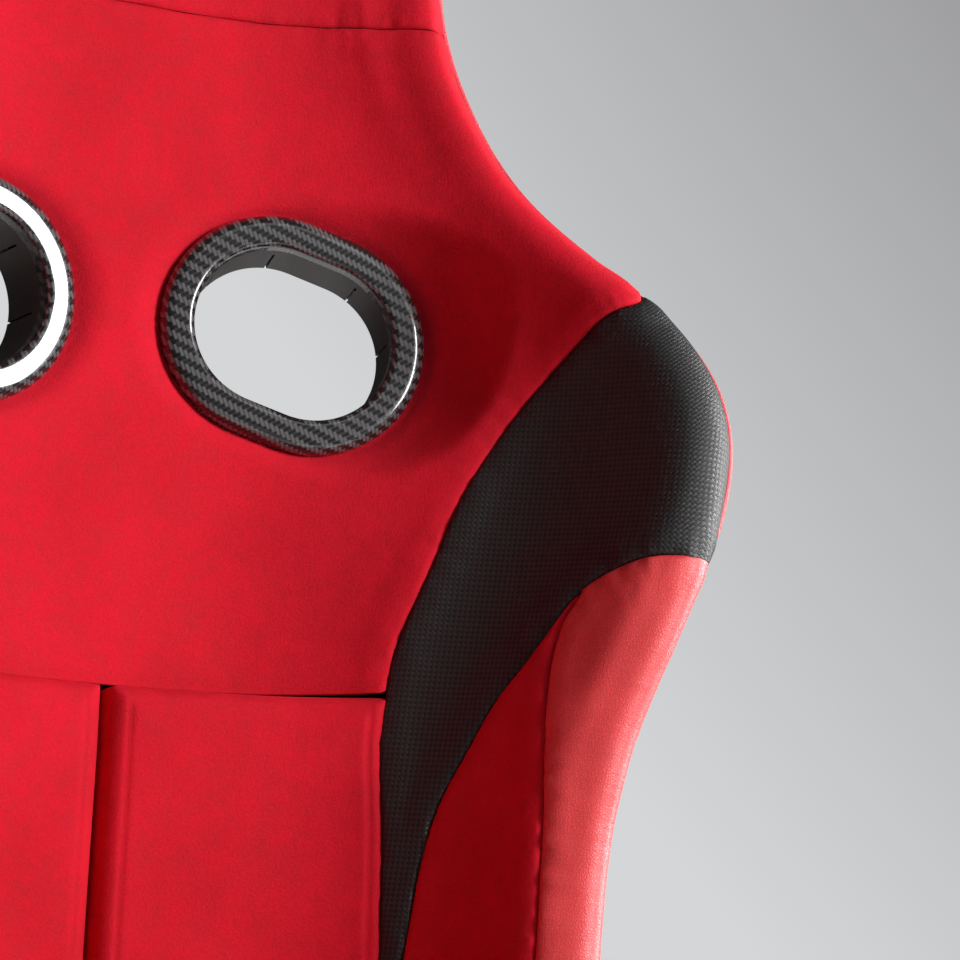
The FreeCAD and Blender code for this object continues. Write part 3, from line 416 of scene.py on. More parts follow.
def arc(s, q):
    """Length across the cover from its middle line, with the side's sign."""
    rows, columns = len(ARC_S) - 1, len(ARC_Q) - 1
    i = np.clip(np.asarray(s) / S_END * rows, 0, rows - 0.001)
    j = np.clip(np.abs(q) * columns, 0, columns - 0.001)
    a, b = i.astype(int), j.astype(int)
    u, v = i - a, j - b
    top = ARC[a, b] * (1 - v) + ARC[a, b + 1] * v
    low = ARC[a + 1, b] * (1 - v) + ARC[a + 1, b + 1] * v
    return (top * (1 - u) + low * u) * np.sign(q)


def spread(s):
    return np.interp(s, ARC_S, ARC[:, -1])


def resampled(line, step):
    line = np.asarray(line, float)
    at = run_lengths(line)
    count = max(2, int(round(at[-1] / step)) + 1)
    places = np.linspace(0, at[-1], count)
    return np.stack([np.interp(places, at, line[:, k]) for k in range(2)], -1)


def nearest(points, line):
    """Distance from each flat point to the nearest of a line's points."""
    found = np.empty(len(points))
    for start in range(0, len(points), 3000):
        gap = points[start:start + 3000, None] - line[None]
        found[start:start + 3000] = np.sqrt((gap ** 2).sum(-1).min(1))
    return found


def inside(points, loop):
    """Which flat points lie within a closed loop."""
    hit = np.zeros(len(points), bool)
    for (x0, y0), (x1, y1) in zip(loop, np.roll(loop, -1, axis=0)):
        if y0 == y1:
            continue
        spans = (points[:, 1] < y0) != (points[:, 1] < y1)
        hit ^= spans & (points[:, 0] < (x1 - x0) * (points[:, 1] - y0) / (y1 - y0) + x0)
    return hit


def cut_cloth(outline, pitch):
    """Places (s, q) and triangles over a panel's outline, closer together beside its edges."""
    flat = np.array([(q * spread(s), s) for s, q in outline])
    loop = resampled(np.concatenate([flat, flat[:1]]), 2.2)[:-1]
    ahead = unit(np.roll(loop, -1, axis=0) - np.roll(loop, 1, axis=0))
    area = (loop[:, 0] * np.roll(loop[:, 1], -1) - np.roll(loop[:, 0], -1) * loop[:, 1]).sum()
    inner = np.stack([-ahead[:, 1], ahead[:, 0]], -1) * (1 if area > 0 else -1)
    fine = resampled(np.concatenate([loop, loop[:1]]), 0.7)
    rows = [loop]
    for k, distance in enumerate(SEAM_ROWS):
        pick = slice(k % 2, None, 2 if distance > 3 else 1)
        row = loop[pick] + inner[pick] * distance
        rows.append(row[(nearest(row, fine) > distance * 0.93) & inside(row, loop)])
    low, high = loop.min(0), loop.max(0)
    x, y = np.meshgrid(np.arange(low[0], high[0], pitch), np.arange(low[1], high[1], pitch * 0.866))
    x = x + (np.arange(x.shape[0]) % 2)[:, None] * pitch / 2
    field = np.stack([x.ravel(), y.ravel()], -1)
    field = field[inside(field, loop)]
    rows.append(field[nearest(field, fine[::2]) > SEAM_ROWS[-1] + pitch * 0.55])
    points = np.concatenate(rows)
    ring = [(i, (i + 1) % len(loop)) for i in range(len(loop))]
    found = delaunay_2d_cdt([Vector(p) for p in points], ring, [], 1, 1e-4, False)
    points = np.array([tuple(p) for p in found[0]])
    s, faces = points[:, 1], np.array(found[2])
    return s, points[:, 0] / spread(s), faces[inside(points[faces].mean(1), loop)]


def cover_points(s, q, pucker, seed):
    """Finished face of the upholstery, with its seams and the dish round each bezel."""
    normal = cover_normal(s, q)
    points = cover(s, q)
    roll = np.clip((HEAD_ROLL - s) / HEAD_ROLL, 0, 1)
    roll = roll + np.clip((s - S_FRONT + FRONT_ROLL) / FRONT_ROLL, 0, 1)
    points = points - normal * ((BACK_FOAM - 2) * (1 - np.sqrt(1 - roll ** 2 * 0.999)))[..., None]
    nose = np.exp(-((np.abs(q) - NOSE_Q) / NOSE_WIDTH) ** 2)
    fuller = NOSE_FILL * nose * np.clip((s - NOSE_START) / NOSE_RISE, 0, 1)
    points = dished(points + normal * fuller[..., None])
    loose = 0.5 * lattice_noise(points[..., 0] / 34, points[..., 2] / 27, seed)
    return points + normal * (seam_relief(points, pucker, seed) + loose)[..., None]


def panel(name, outline, pucker, seed, pitch=3.2):
    """One sewn panel of the upholstery, inside an outline of (s, q) places."""
    s, q, faces = cut_cloth(outline, pitch)
    points = cover_points(s, q, pucker, seed)
    uv = np.stack([arc(s, q), s], -1)
    middle = points[faces].mean(1)
    keep = np.ones(len(faces), bool)
    for side, _ in SIDES:
        a, b, n = hole_place(middle, side)
        within = obround_distance(a, b, SLEEVE_LENGTH + SLEEVE_ROOM, SLEEVE_WIDTH + SLEEVE_ROOM) < 0
        keep &= ~(within & (np.abs(n) < SLEEVE_REACH))
    faces = faces[keep]
    corner = points[faces]
    outward = np.cross(corner[:, 1] - corner[:, 0], corner[:, 2] - corner[:, 0])
    if (outward * cover_normal(s, q)[faces[:, 0]]).sum() < 0:
        faces = faces[:, ::-1]
    used = np.unique(faces)
    renumber = np.zeros(len(points), int)
    renumber[used] = np.arange(len(used))
    piece = new_piece(name, points[used], renumber[faces], uv[used])
    thicken(piece, PANEL_WALL)
    return piece


def vertex_data(mesh):
    co = np.empty(len(mesh.vertices) * 3)
    normal = np.empty(len(mesh.vertices) * 3, np.float32)
    mesh.vertices.foreach_get("co", co)
    mesh.vertex_normals.foreach_get("vector", normal)
    return co.reshape(-1, 3), normal.reshape(-1, 3).astype(float)


def even_copy(name, node):
    """A copy of a plain solid, its surface in even small squares."""
    mesh = nodes[node].data.copy()
    mesh.materials.clear()
    piece = bpy.data.objects.new(name, mesh)
    bpy.context.scene.collection.objects.link(piece)
    edit(piece, (bpy.ops.mesh.remove_doubles, {"threshold": 1e-5}))
    remesh = piece.modifiers.new("even", "REMESH")
    remesh.mode = "VOXEL"
    remesh.voxel_size = PAD_VOXEL
    apply_all(piece)
    return piece


def blown_up(piece, rest):
    """Places of a pad's points once its stuffing has pushed them out, none further than the cap."""
    cloth = piece.modifiers.new("stuffing", "CLOTH")
    cloth.settings.use_pressure = True
    cloth.settings.uniform_pressure_force = PAD_PRESSURE
    cloth.settings.tension_stiffness = 25
    cloth.settings.compression_stiffness = 25
    cloth.settings.effector_weights.gravity = 0
    cloth.point_cache.frame_start = 1
    cloth.point_cache.frame_end = PAD_FRAMES
    for frame_number in range(1, PAD_FRAMES + 1):
        bpy.context.scene.frame_set(frame_number)
    pushed = piece.evaluated_get(bpy.context.evaluated_depsgraph_get()).data
    blown = np.empty(len(rest) * 3)
    pushed.vertices.foreach_get("co", blown)
    piece.modifiers.clear()
    bpy.context.scene.frame_set(1)
    move = blown.reshape(-1, 3) - rest
    size = np.linalg.norm(move, axis=1, keepdims=True)
    return rest + move * np.minimum(1, PAD_CAP * MM / np.maximum(size, 1e-9))


def quilt(piece, channels):
    """Sews the channels into a pad and leaves slight wrinkles in its cloth."""
    co, normal = vertex_data(piece.data)
    for line in channels:
        gap = np.full(len(co), 1e3)
        for start in range(0, len(co), 4000):
            part = co[start:start + 4000, None] / MM - line[None]
            gap[start:start + 4000] = np.linalg.norm(part, axis=-1).min(1)
        dip = 4.2 * np.exp(-(gap / 5.0) ** 2) + 1.5 * np.exp(-(gap / 1.6) ** 2)
        co = co - normal * dip[:, None] * MM
    wrinkle = lattice_noise(co[:, 0] / 0.03, co[:, 1] / 0.025 + co[:, 2] / 0.03, 5)
    co = co + normal * (wrinkle * 0.35 * MM)[:, None]
    piece.data.vertices.foreach_set("co", co.ravel())
    piece.data.update()
    piece.data.shade_smooth()


def puffed(name, node, channels):
    """A stuffed pad, blown up from the plain solid that holds its place, then quilted."""
    piece = even_copy(name, node)
    rest, normal = vertex_data(piece.data)
    rest = rest - normal * PAD_SHRINK * MM
    piece.data.vertices.foreach_set("co", rest.ravel())
    piece.data.vertices.foreach_set("co", blown_up(piece, rest).ravel())
    smooth = piece.modifiers.new("settle", "SMOOTH")
    smooth.iterations = 3
    fine = piece.modifiers.new("fine", "SUBSURF")
    fine.levels = fine.render_levels = 1
    apply_all(piece)
    quilt(piece, channels)
    return piece


def tube(name, path, radius_mm, sides=10):
    """A round cord along a path in millimetres."""
    path = np.asarray(path, float)
    ahead = unit(np.gradient(path, axis=0))
    across = np.zeros_like(path)
    start = np.array([0.3, 0.2, 1.0])
    for i, way in enumerate(ahead):
        start = start - way * (start @ way)
        start = start / np.linalg.norm(start)
        across[i] = start
    up = np.cross(ahead, across)
    turn = np.linspace(0, 2 * np.pi, sides, endpoint=False)
    rings = path[:, None] + radius_mm * (
        across[:, None] * np.cos(turn)[None, :, None] + up[:, None] * np.sin(turn)[None, :, None])
    count = len(path)
    points = np.concatenate([rings.reshape(-1, 3), path[:1], path[-1:]])
    faces = []
    for i in range(count - 1):
        for k in range(sides):
            j = (k + 1) % sides
            faces.append((i * sides + k, i * sides + j, (i + 1) * sides + j, (i + 1) * sides + k))
    for k in range(sides):
        j = (k + 1) % sides
        faces.append((j, k, count * sides))
        faces.append(((count - 1) * sides + k, (count - 1) * sides + j, count * sides + 1))
    distance = run_lengths(path)
    ring_map = np.stack(np.broadcast_arrays(turn[None] * radius_mm, distance[:, None]), -1).reshape(-1, 2)
    return new_piece(name, points, faces, np.concatenate([ring_map, [[0, 0], [0, distance[-1]]]]))


# ---------------------------------------------------------------- finishes
class Value:
    """One output of a node, which plain arithmetic can be written on."""

    def __init__(self, tree, socket):
        self.tree, self.socket = tree, socket

    def _maths(self, operation, *others):
        return self.tree.node("ShaderNodeMath", {"operation": operation}, *others)[0]

    def __add__(self, other):
        return self._maths("ADD", self, other)

    def __radd__(self, other):
        return self._maths("ADD", other, self)

    def __sub__(self, other):
        return self._maths("SUBTRACT", self, other)

    def __rsub__(self, other):
        return self._maths("SUBTRACT", other, self)

    def __mul__(self, other):
        return self._maths("MULTIPLY", self, other)

    def __rmul__(self, other):
        return self._maths("MULTIPLY", other, self)

    def __pow__(self, other):
        return self._maths("POWER", self, other)

    def __mod__(self, other):
        return self._maths("FLOORED_MODULO", self, other)

    def __lt__(self, other):
        return self._maths("LESS_THAN", self, other)

    def floor(self):
        return self._maths("FLOOR", self)

    def sine(self):
        return self._maths("SINE", self)

    def absolute(self):
        return self._maths("ABSOLUTE", self)


class Tree:
    """Puts nodes into a tree: settings first, then the values or links of their sockets."""

    def __init__(self, tree):
        self.nodes, self.links = tree.nodes, tree.links

    def node(self, kind, settings, *inputs, **named):
        made = self.nodes.new(kind)
        for key, value in settings.items():
            if key == "stops":
                while len(made.color_ramp.elements) < len(value):
                    made.color_ramp.elements.new(0.5)
                for element, (position, colour) in zip(made.color_ramp.elements, value):
                    element.position, element.color = position, (*colour, 1)
            else:
                setattr(made, key, value)
        pairs = list(zip([s for s in made.inputs if s.enabled], inputs))
        pairs += [(made.inputs[key.replace("_", " ")], value) for key, value in named.items()]
        for socket, value in pairs:
            if isinstance(value, Value):
                self.links.new(value.socket, socket)
            else:
                socket.default_value = value
        return [Value(self, out) for out in made.outputs if out.enabled]

    def noise(self, place, scale, detail=2.0, roughness=0.5):
        return self.node("ShaderNodeTexNoise", {}, Vector=place, Scale=scale, Detail=detail,
                         Roughness=roughness)[0]

    def cells(self, place, scale, feature):
        return self.node("ShaderNodeTexVoronoi", {"feature": feature}, Vector=place, Scale=scale)[0]

    def mapped(self, place, turn=(0, 0, 0), size=(1, 1, 1)):
        return self.node("ShaderNodeMapping", {}, Vector=place, Rotation=turn, Scale=size)[0]

    def parts(self, place):
        return self.node("ShaderNodeSeparateXYZ", {}, place)

    def blend(self, share, *colours):
        colours = [(*colour, 1) if isinstance(colour, tuple) else colour for colour in colours]
        return self.node("ShaderNodeMix", {"data_type": "RGBA"}, share, *colours)[0]

    def range(self, value, low, high, to_low=0.0, to_high=1.0):
        return self.node("ShaderNodeMapRange", {"clamp": True}, value, low, high, to_low, to_high)[0]


class Finish(Tree):
    """A procedural material being put together."""

    def __init__(self, name, **look):
        self.material = bpy.data.materials.new(name)
        self.material.use_nodes = True
        super().__init__(self.material.node_tree)
        self.shader = self.nodes["Principled BSDF"]
        for socket, value in look.items():
            self.shader.inputs[socket.replace("_", " ")].default_value = value
        coordinates = self.nodes.new("ShaderNodeTexCoord")
        self.place = Value(self, coordinates.outputs["Object"])
        self.map = Value(self, coordinates.outputs["UV"])

    def give(self, socket, value):
        self.links.new(value.socket, self.shader.inputs[socket])

    def bump(self, height, distance, strength=1.0):
        out = self.node("ShaderNodeBump", {}, Height=height, Distance=distance, Strength=strength)[0]
        self.give("Normal", out)


def red_velour():
    """Brushed red knit with a short nap: fine fuzz, faint rubbed patches and a soft sheen."""
    f = Finish("red_cloth", Roughness=0.9, Sheen_Weight=0.22, Sheen_Roughness=0.3,
               Sheen_Tint=(1.0, 0.06, 0.10, 1), Specular_IOR_Level=0.18)
    fuzz = f.noise(f.place, 900.0, 3.0, 0.65)
    nap = f.noise(f.place, 95.0, 3.0, 0.6)
    rubbed = f.noise(f.place, 14.0, 3.0)
    share = f.range(fuzz * 0.45 + nap * 0.30 + rubbed * 0.35, 0.34, 0.76)
    f.give("Base Color", f.blend(share, (0.42, 0.005, 0.014), (0.72, 0.009, 0.027)))
    f.give("Roughness", f.range(nap, 0.3, 0.7, 0.78, 0.95))
    f.bump(fuzz * 0.6 + nap * 0.4, 0.0009, 0.55)
    return f.material


def carbon_cloth():
    """Dark coated cloth woven in small squares, running aslant."""
    f = Finish("carbon_cloth", Roughness=0.5, Specular_IOR_Level=0.5)
    square = 0.00185
    x, y, _ = f.parts(f.mapped(f.map, (0, 0, math.radians(40)), (1 / square, 1 / square, 1)))
    u, v = x % 1.0, y % 1.0
    odd = (x.floor() + y.floor()) % 2.0
    edge_u, edge_v = (u - 0.5).absolute() * 2, (v - 0.5).absolute() * 2
    pillow = (1 - edge_u ** 4.0) * (1 - edge_v ** 4.0)
    threads_u, threads_v = (u * 6 * math.pi).sine(), (v * 6 * math.pi).sine()
    threads = (threads_u * odd + threads_v * (1 - odd)) * 0.5 + 0.5
    wear = f.noise(f.map, 900.0, 2.0)
    cloud = f.noise(f.place, 22.0, 3.0)
    shade = f.range(odd * 0.75 + threads * 0.12 * pillow + wear * 0.12 + cloud * 0.16, 0.12, 1.0)
    f.give("Base Color", f.blend(shade, (0.0018, 0.0018, 0.0018), (0.021, 0.0205, 0.0205)))
    f.give("Roughness", f.range(odd * 0.7 + wear * 0.3, 0.0, 1.0, 0.58, 0.40))
    f.bump(pillow * 0.35 + threads * 0.15 + odd * 0.5, 0.0005, 0.8)
    return f.material


def red_leather(name="red_leather", deep=(0.60, 0.040, 0.044), lit=(0.84, 0.070, 0.074)):
    """Red hide with a satin grain and slight creases."""
    f = Finish(name, Roughness=0.45, Coat_Weight=0.12, Coat_Roughness=0.35, Specular_IOR_Level=0.55)
    grain = f.cells(f.place, 760.0, "DISTANCE_TO_EDGE")
    pores = f.noise(f.place, 1500.0, 2.0)
    crease = f.noise(f.mapped(f.map, (0, 0, 0.2), (30, 140, 1)), 1.0, 3.0, 0.55)
    mottled = f.noise(f.place, 40.0, 3.0)
    hills = f.range(grain, 0.0, 0.28)
    f.give("Base Color", f.blend(f.range(hills * 0.35 + mottled * 0.6, 0.15, 0.75), deep, lit))
    f.give("Roughness", f.range(hills * 0.6 + pores * 0.4, 0.2, 0.8, 0.56, 0.38))
    f.bump(hills * 0.22 + pores * 0.10 + crease * 1.3, 0.0006, 0.6)
    return f.material


def bezel_twill():
    """Glossy clear coat over black and grey tows in a two-over-two twill, square to the bezel's face."""
    f = Finish("bezel_twill", Roughness=0.32, Coat_Weight=1.0, Coat_Roughness=0.03)
    lean, tow = math.radians(16), 0.0019
    px, _, pz = f.parts(f.mapped(f.place, (-lean, 0, 0), (1 / tow, 1 / tow, 1 / tow)))
    a, b = (px * 0.88 + pz * 0.47), (pz * 0.88 - px * 0.47)
    over = ((a.floor() + b.floor()) % 4.0) < 1.5
    ridge_a = 1 - ((a % 1.0 - 0.5).absolute() * 2) ** 2.0
    ridge_b = 1 - ((b % 1.0 - 0.5).absolute() * 2) ** 2.0
    ridge = ridge_a * over + ridge_b * (1 - over)
    fibre = f.noise(f.mapped(f.place, (0, 0, 0), (900, 900, 3500)), 1.0, 2.0)
    f.give("Base Color", f.blend(f.range(over * 0.62 * ridge + fibre * 0.30, 0.12, 0.80),
                                 (0.004, 0.004, 0.0045), (0.120, 0.120, 0.125)))
    f.give("Roughness", f.range(ridge, 0.0, 1.0, 0.45, 0.25))
    return f.material


def moulded(name, colour, roughness=0.42, grain=900.0, depth=0.00008, coat=0.0, speckle=0.25):
    """Moulded or coated hard surface with fine texture and slight handling marks."""
    f = Finish(name, Coat_Weight=coat, Coat_Roughness=0.1)
    fine = f.noise(f.place, grain, 3.0, 0.6)
    marks = f.noise(f.place, 28.0, 4.0, 0.6)
    dark = tuple(c * (1 - speckle) for c in colour)
    f.give("Base Color", f.blend(f.range(fine * 0.4 + marks * 0.6, 0.3, 0.7), dark, colour))
    f.give("Roughness", f.range(marks * 0.6 + fine * 0.4, 0.3, 0.7, roughness - 0.07, roughness + 0.09))
    f.bump(fine, depth, 0.6)
    return f.material


def drawn_metal(name, colour, roughness, stretch=(30, 700, 700)):
    """Metal with the faint lines that drawing or turning leaves."""
    f = Finish(name, Metallic=1.0)
    lines = f.noise(f.mapped(f.place, (0, 0, 0), stretch), 1.0, 3.0, 0.6)
    cloud = f.noise(f.place, 35.0, 3.0)
    f.give("Base Color", f.blend(f.range(cloud, 0.3, 0.7), tuple(c * 0.78 for c in colour), colour))
    f.give("Roughness", f.range(lines * 0.5 + cloud * 0.5, 0.3, 0.7, roughness - 0.08, roughness + 0.1))
    f.bump(lines, 0.00004, 0.5)
    return f.material


def shell_laminate():
    """Black gel-coated laminate, with a faint weave showing through under the gloss."""
    f = Finish("shell_finish", Coat_Weight=0.5, Coat_Roughness=0.12)
    x, y, z = f.parts(f.mapped(f.place, (0, 0, 0), (320, 320, 320)))
    over = ((x.floor() + z.floor()) % 4.0) < 1.5
    peel = f.noise(f.place, 180.0, 2.0)
    f.give("Base Color", f.blend(f.range(over * 0.5 + peel * 0.4, 0.1, 0.9), (0.009, 0.009, 0.010),
                                 (0.026, 0.026, 0.028)))
    f.give("Roughness", f.range(peel, 0.3, 0.7, 0.30, 0.42))
    f.bump(peel, 0.00012, 0.5)
    return f.material


FINISHES = {
    "red_cloth": red_velour(),
    "carbon_cloth": carbon_cloth(),
    "red_leather": red_leather(),
    "red_piping": red_leather("red_piping", (0.40, 0.006, 0.014), (0.62, 0.012, 0.028)),
    "foam": moulded("foam", (0.10, 0.10, 0.105), 0.9, 700.0, 0.0006),
    "liner": moulded("liner", (0.030, 0.030, 0.032), 0.92, 600.0, 0.0006, speckle=0.5),
    "shell_finish": shell_laminate(),
    "bezel_twill": bezel_twill(),
    "black_plastic": moulded("black_plastic", (0.062, 0.056, 0.050), 0.42),
    "black_steel": moulded("black_steel", (0.022, 0.022, 0.023), 0.38, 1100.0, 0.0002, coat=0.2),
    "zinc_steel": drawn_metal("zinc_steel", (0.62, 0.63, 0.65), 0.34),
    "bolt_steel": drawn_metal("bolt_steel", (0.36, 0.36, 0.38), 0.30, (500, 500, 500)),
    "boss_alloy": drawn_metal("boss_alloy", (0.70, 0.70, 0.72), 0.28, (600, 600, 600)),
    "ball_steel": drawn_metal("ball_steel", (0.78, 0.78, 0.80), 0.12, (300, 300, 300)),
    "cage_plastic": moulded("cage_plastic", (0.55, 0.52, 0.44), 0.5),
    "grip_rubber": moulded("grip_rubber", (0.018, 0.018, 0.018), 0.75, 500.0, 0.0004),
}


# ---------------------------------------------------------------- sewn panels
def upper_panels():
    """Padded head and the broad back panel under it."""
    outline = cross_edge(HEAD_TOP, -1, 1, 60) + down_edge(HEAD_TOP, S_NECK, 1.0, 50)
    outline += cross_edge(S_NECK, 1, -1, 60) + down_edge(S_NECK, HEAD_TOP, -1.0, 50)
    finish_piece(panel("head_pad", outline, 0.5, 11), "red_cloth", "head_cover", "head_foam", fill=0.9)

    seam = along(SHOULDER_SEAM, 400)
    seam = seam[seam[:, 0] < S_BACK_END]
    seam_start = SHOULDER_SEAM[0][0]
    outline = cross_edge(S_NECK, -1, 1, 60) + down_edge(S_NECK, seam_start, 1.0, 40)
    outline += sided(seam, 1) + cross_edge(S_BACK_END, BACK_INNER, -BACK_INNER, 60)
    outline += sided(seam[::-1], -1) + down_edge(seam_start, S_NECK, -1.0, 40)
    finish_piece(panel("back_pad", outline, 0.55, 12), "red_cloth", "back_cover", "back_foam", fill=0.9)


def side_panels(side, word):
    """Carbon-look shoulder, red patch under it, the hide over the waist and red cloth over the hip, on one
    side.
    """
    seam, hem, patch = along(SHOULDER_SEAM, 260), along(SHOULDER_HEM, 260), along(PATCH_SEAM, 200)
    start = np.linalg.norm((hem - patch[0]) * [1, Q_TO_MM], axis=1).argmin()
    seam_start, hem_start = SHOULDER_SEAM[0][0], SHOULDER_HEM[0][0]

    def sew(name, places, slot, pucker, seed, pitch, *stands_for):
        piece = panel(name + word, sided(places, side), pucker, seed, pitch)
        finish_piece(piece, slot, *stands_for, fill=0.9)

    shoulder = [*seam, *hem[::-1], *down_edge(hem_start, seam_start, 1.0, 50)]
    sew("shoulder_", shoulder, "carbon_cloth", 0.9, 20, 2.9, "shoulder_panel_" + word)
    wedge = [*hem[start:], *patch[::-1]]
    sew("side_patch_cloth_", wedge, "red_cloth", 0.5, 21, 2.9, "side_patch_" + word)
    waist = [*hem[:start], *patch, *cross_edge(S_BOLSTER_END, WAIST_INNER, 1.0, 12)]
    waist += down_edge(S_BOLSTER_END, hem_start, 1.0, 70)
    sew("waist_hide_", waist, "red_leather", 1.0, 22, 2.9, "waist_panel_" + word, "bolster_foam_" + word)
    hip = cross_edge(S_BOLSTER_END, HIP_INNER, 1.0, 40) + down_edge(S_BOLSTER_END, S_FRONT, 1.0, 160)
    hip += cross_edge(S_FRONT, 1.0, HIP_INNER, 40) + down_edge(S_FRONT, S_BOLSTER_END, HIP_INNER, 160)
    sew("hip_bolster_", hip, "red_cloth", 0.8, 23, 3.4, "hip_cover_" + word, "hip_foam_" + word)


def grid_faces(index):
    corners = [index[:-1, :-1], index[:-1, 1:], index[1:, 1:], index[1:, :-1]]
    return np.stack(corners, -1).reshape(-1, 4)


def liner():
    """Thin black felt over the shell's floor, under the loose pads, open round the crotch strap's grommet."""
    places = np.linspace(S_BACK_END + 6, S_FRONT - 4, 130), np.linspace(-FELT_HALF, FELT_HALF, 60)
    s, v = np.meshgrid(*places, indexing="ij")
    flat = shell(s, v, FELT_HEIGHT).reshape(-1, 3)
    faces = grid_faces(np.arange(s.size).reshape(s.shape))
    low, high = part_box("crotch_grommet")
    middle = flat[faces].mean(1)
    over = np.abs(middle[:, 0]) < high.x / MM - 3
    over &= np.abs(middle[:, 1] - (low.y + high.y) / 2 / MM) < 14
    piece = new_piece("floor_felt", flat, faces[~over][:, ::-1])
    edit(piece, (bpy.ops.mesh.delete_loose, {}))
    thicken(piece, FELT_WALL)
    finish_piece(piece, "liner", "base_liner", fill=0.3)


def over_shell(x, s, height):
    """Points at a height over the shell's inner face that lie x from the middle plane."""
    probe = np.linspace(0, 0.75, 120)
    table = shell(s[..., None], probe, height[..., None])[..., 0]
    v = np.empty_like(x)
    for place in np.ndindex(x.shape):
        v[place] = np.interp(x[place], table[place], probe)
    return shell(s, v, height)


def crowned(x, s, edge, seed):
    """Height of a cushion's face: a low crown, rolled edges and the dip of a stitched line beside them."""
    near = np.clip(edge, 0, LUMBAR_ROLL)
    far = np.clip(edge / 60.0, 0, 1)
    drop = LUMBAR_ROLL - np.sqrt(LUMBAR_ROLL ** 2 - (LUMBAR_ROLL - near) ** 2)
    height = LUMBAR_FACE - 3.0 + 3.0 * np.sin(far * np.pi / 2) - drop
    height = height + 0.5 * lattice_noise(x / 22, s / 30, seed)
    return height - 1.1 * np.exp(-((edge - 9.0) / 1.3) ** 2)


def lumbar_cushion(side, word):
    """One half of the lumbar pad: a crowned face, rolled edges and a boxed border, lying in the shell."""
    count = LUMBAR_COUNT
    share = 0.5 - 0.5 * np.cos(np.linspace(0, np.pi, count))
    share = 0.55 * share + 0.45 * np.linspace(0, 1, count)
    s = LUMBAR_TOP + share * (LUMBAR_END - LUMBAR_TOP)
    lower_seam = np.array(SHOULDER_SEAM[6:])
    outer = cover(s, Curve(lower_seam[:, 0], lower_seam[:, 1])(s))[:, 0] + LUMBAR_TUCK
    rounding = np.clip((LUMBAR_TOP + LUMBAR_CORNER - s) / LUMBAR_CORNER, 0, 1)
    corner = LUMBAR_CORNER * (1 - np.sqrt(1 - rounding ** 2))
    span = outer - LUMBAR_GAP - 2 * corner
    x = LUMBAR_GAP + corner[:, None] + share[None] * span[:, None]
    s = np.broadcast_to(s[:, None], x.shape)
    edge = np.stack([x - LUMBAR_GAP, outer[:, None] - x, s - LUMBAR_TOP, LUMBAR_END - s]).min(0)
    height = crowned(x, s, edge, 31 + side)

    ring = [(0, k) for k in range(count)] + [(k, count - 1) for k in range(1, count)]
    ring += [(count - 1, k) for k in range(count - 2, -1, -1)] + [(k, 0) for k in range(count - 2, 0, -1)]
    rows, columns = np.array(ring).T
    levels = np.linspace(0, 1, 9)[1:]
    walls = []
    for level in levels:
        foot = height[rows, columns] * (1 - level) + LUMBAR_FOOT * level
        belly = 1.4 * np.sin(level * np.pi) * np.sign(columns - count / 2)
        walls.append(over_shell(x[rows, columns] + belly, s[rows, columns], foot))
    under = over_shell(x, s, np.full_like(x, LUMBAR_FOOT))

    index = np.arange(count * count).reshape(count, count)
    faces = [grid_faces(index)]
    above = index[rows, columns]
    for k in range(len(levels)):
        below = count * count + k * len(ring) + np.arange(len(ring))
        faces.append(np.stack([above, np.roll(above, -1), np.roll(below, -1), below], -1)[:, ::-1])
        above = below
    faces.append(grid_faces(count * count + len(levels) * len(ring) + index.T))
    face = over_shell(x, s, height)
    points = np.concatenate([face.reshape(-1, 3)] + walls + [under.reshape(-1, 3)])
    uv = np.stack([points[:, 0], points[:, 2]], -1)
    points = points * (1 if side > 0 else MIRROR)
    piece = new_piece("lumbar_cushion_" + word, points, np.concatenate(faces), uv)
    edit(piece, (bpy.ops.mesh.remove_doubles, {"threshold": 2e-5}),
         (bpy.ops.mesh.normals_make_consistent, {"inside": False}))
    finish_piece(piece, "red_cloth", "lumbar_pad_" + word, fill=0.8)


def loose_pads():
    """Lumbar, seat and thigh pads."""
    for side, word in SIDES:
        lumbar_cushion(side, word)
    across = np.linspace(-CHANNEL_HALF, CHANNEL_HALF, 120)
    for name, node, sewn_at in (("seat_pad", "seat_cushion", SEAT_CHANNELS),
                                ("thigh_pad", "thigh_cushion", THIGH_CHANNELS)):
        channels = [shell(np.full(120, s), across, CHANNEL_HEIGHT) for s in sewn_at]
        finish_piece(puffed(name, node, channels), "red_cloth", node, fill=0.7)


def piping():
    """Red cord in a sleeve of hide along both edges of the shell."""
    for side, word in SIDES:
        s = np.linspace(8, S_FRONT + 4, 520)
        path = rim(s, PIPING_HEIGHT, PIPING_REACH) * (1 if side > 0 else MIRROR)
        finish_piece(tube("edge_piping_" + word, path, PIPING_RADIUS), "red_piping")


def hard_parts():
    """Finishes of the hard pieces."""
    for node in nodes.values():
        if node.hide_render:
            continue
        slot = node.material_slots[0].material.name
        node.data.materials.clear()
        node.data.materials.append(FINISHES[slot])


# ---------------------------------------------------------------- studio
def area_light(name, place, toward, width, height, power):
    light = bpy.data.lights.new(name, "AREA")
    light.shape, light.size, light.size_y, light.energy = "RECTANGLE", width, height, power
    lamp = bpy.data.objects.new(name, light)
    bpy.context.scene.collection.objects.link(lamp)
    lamp.location = place
    lamp.rotation_euler = (Vector(toward) - Vector(place)).to_track_quat("-Z", "Y").to_euler()


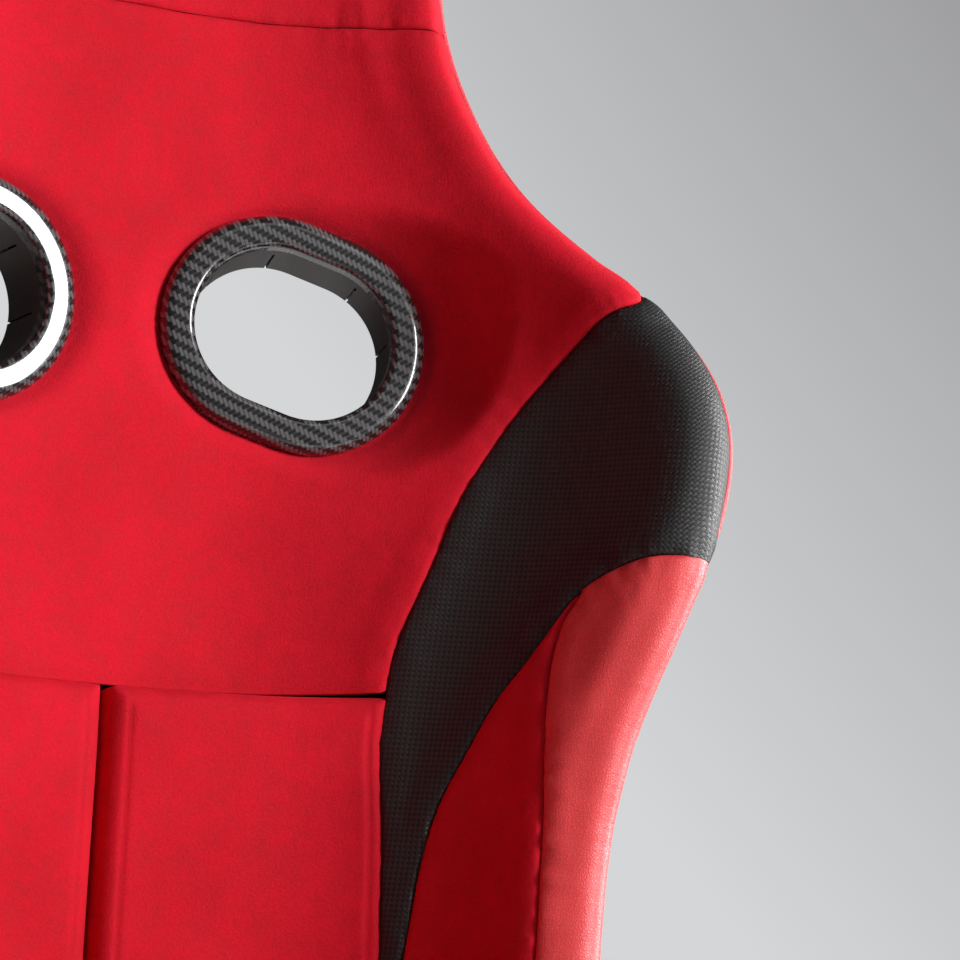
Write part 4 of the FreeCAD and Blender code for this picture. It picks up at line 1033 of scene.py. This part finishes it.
def backdrop():
    """Grey that fades across the view, a painted falloff of light: lighter towards the lower left, darker
    towards the upper right, with only a little of it lighting the seat.
    """
    world = bpy.data.worlds.new("studio")
    bpy.context.scene.world = world
    world.use_nodes = True
    sky = Tree(world.node_tree)
    x, _, z = sky.parts(sky.node("ShaderNodeTexCoord", {})[0])
    # Painted light: the ramp makes the backdrop light grey low and to the left and darker grey up and to the
    # right, as if the studio light fell off across it.
    stops = [(0.36, (0.66, 0.67, 0.68)), (0.64, (0.34, 0.34, 0.35))]
    painted_falloff = sky.node("ShaderNodeValToRGB", {"stops": stops}, z * 0.9 + x)[0]
    seen = sky.node("ShaderNodeLightPath", {})[0]
    shown = sky.blend(seen, (0.035, 0.0355, 0.0365), painted_falloff)
    sky.links.new(shown.socket, sky.nodes["Background"].inputs["Color"])


def studio():
    bpy.ops.mesh.primitive_circle_add(vertices=128, radius=1.55, fill_type="NGON", location=(0, 0, 0))
    floor = bpy.context.object
    floor.name = "studio_floor"
    f = Finish("studio_floor", Roughness=0.7)
    f.give("Base Color", f.blend(f.noise(f.place, 60.0), (0.66, 0.66, 0.66), (0.70, 0.70, 0.70)))
    floor.data.materials.append(f.material)
    backdrop()
    area_light("key_box", (1.45, -1.6, 1.5), (0.05, 0.2, 0.6), 0.9, 1.1, 84)
    area_light("high_box", (0.1, -1.3, 2.2), (0, 0.1, 0.6), 1.0, 0.8, 2.3)
    area_light("rim_box", (1.8, 0.25, 0.9), (0.2, 0.15, 0.6), 0.7, 1.2, 44)
    area_light("low_fill", (-0.6, -2.3, 0.5), (0, 0.1, 0.5), 1.2, 1.2, 1.4)


def camera():
    yaw, rise, roll, distance = math.radians(-24), math.radians(1), math.radians(7.6), 1.7
    target = Vector((0.1835, 0.230, 0.558))
    back = Vector((math.sin(yaw) * math.cos(rise), -math.cos(yaw) * math.cos(rise), math.sin(rise)))
    right = (-back).cross(Vector((0, 0, 1))).normalized()
    up = right.cross(-back)
    turned = right * math.cos(roll) + up * math.sin(roll)
    upright = up * math.cos(roll) - right * math.sin(roll)
    lens = bpy.data.cameras.new("camera")
    lens.lens, lens.sensor_width = 127.5, 36
    lens.clip_start, lens.clip_end = 0.05, 60
    eye = bpy.data.objects.new("camera", lens)
    bpy.context.scene.collection.objects.link(eye)
    eye.matrix_world = Matrix.Translation(target + back * distance) @ Matrix(
        (turned, upright, back)).transposed().to_4x4()
    bpy.context.scene.camera = eye


upper_panels()
for side, word in SIDES:
    side_panels(side, word)
liner()
loose_pads()
piping()
hard_parts()
studio()
camera()
bpy.context.scene.view_settings.view_transform = "Standard"
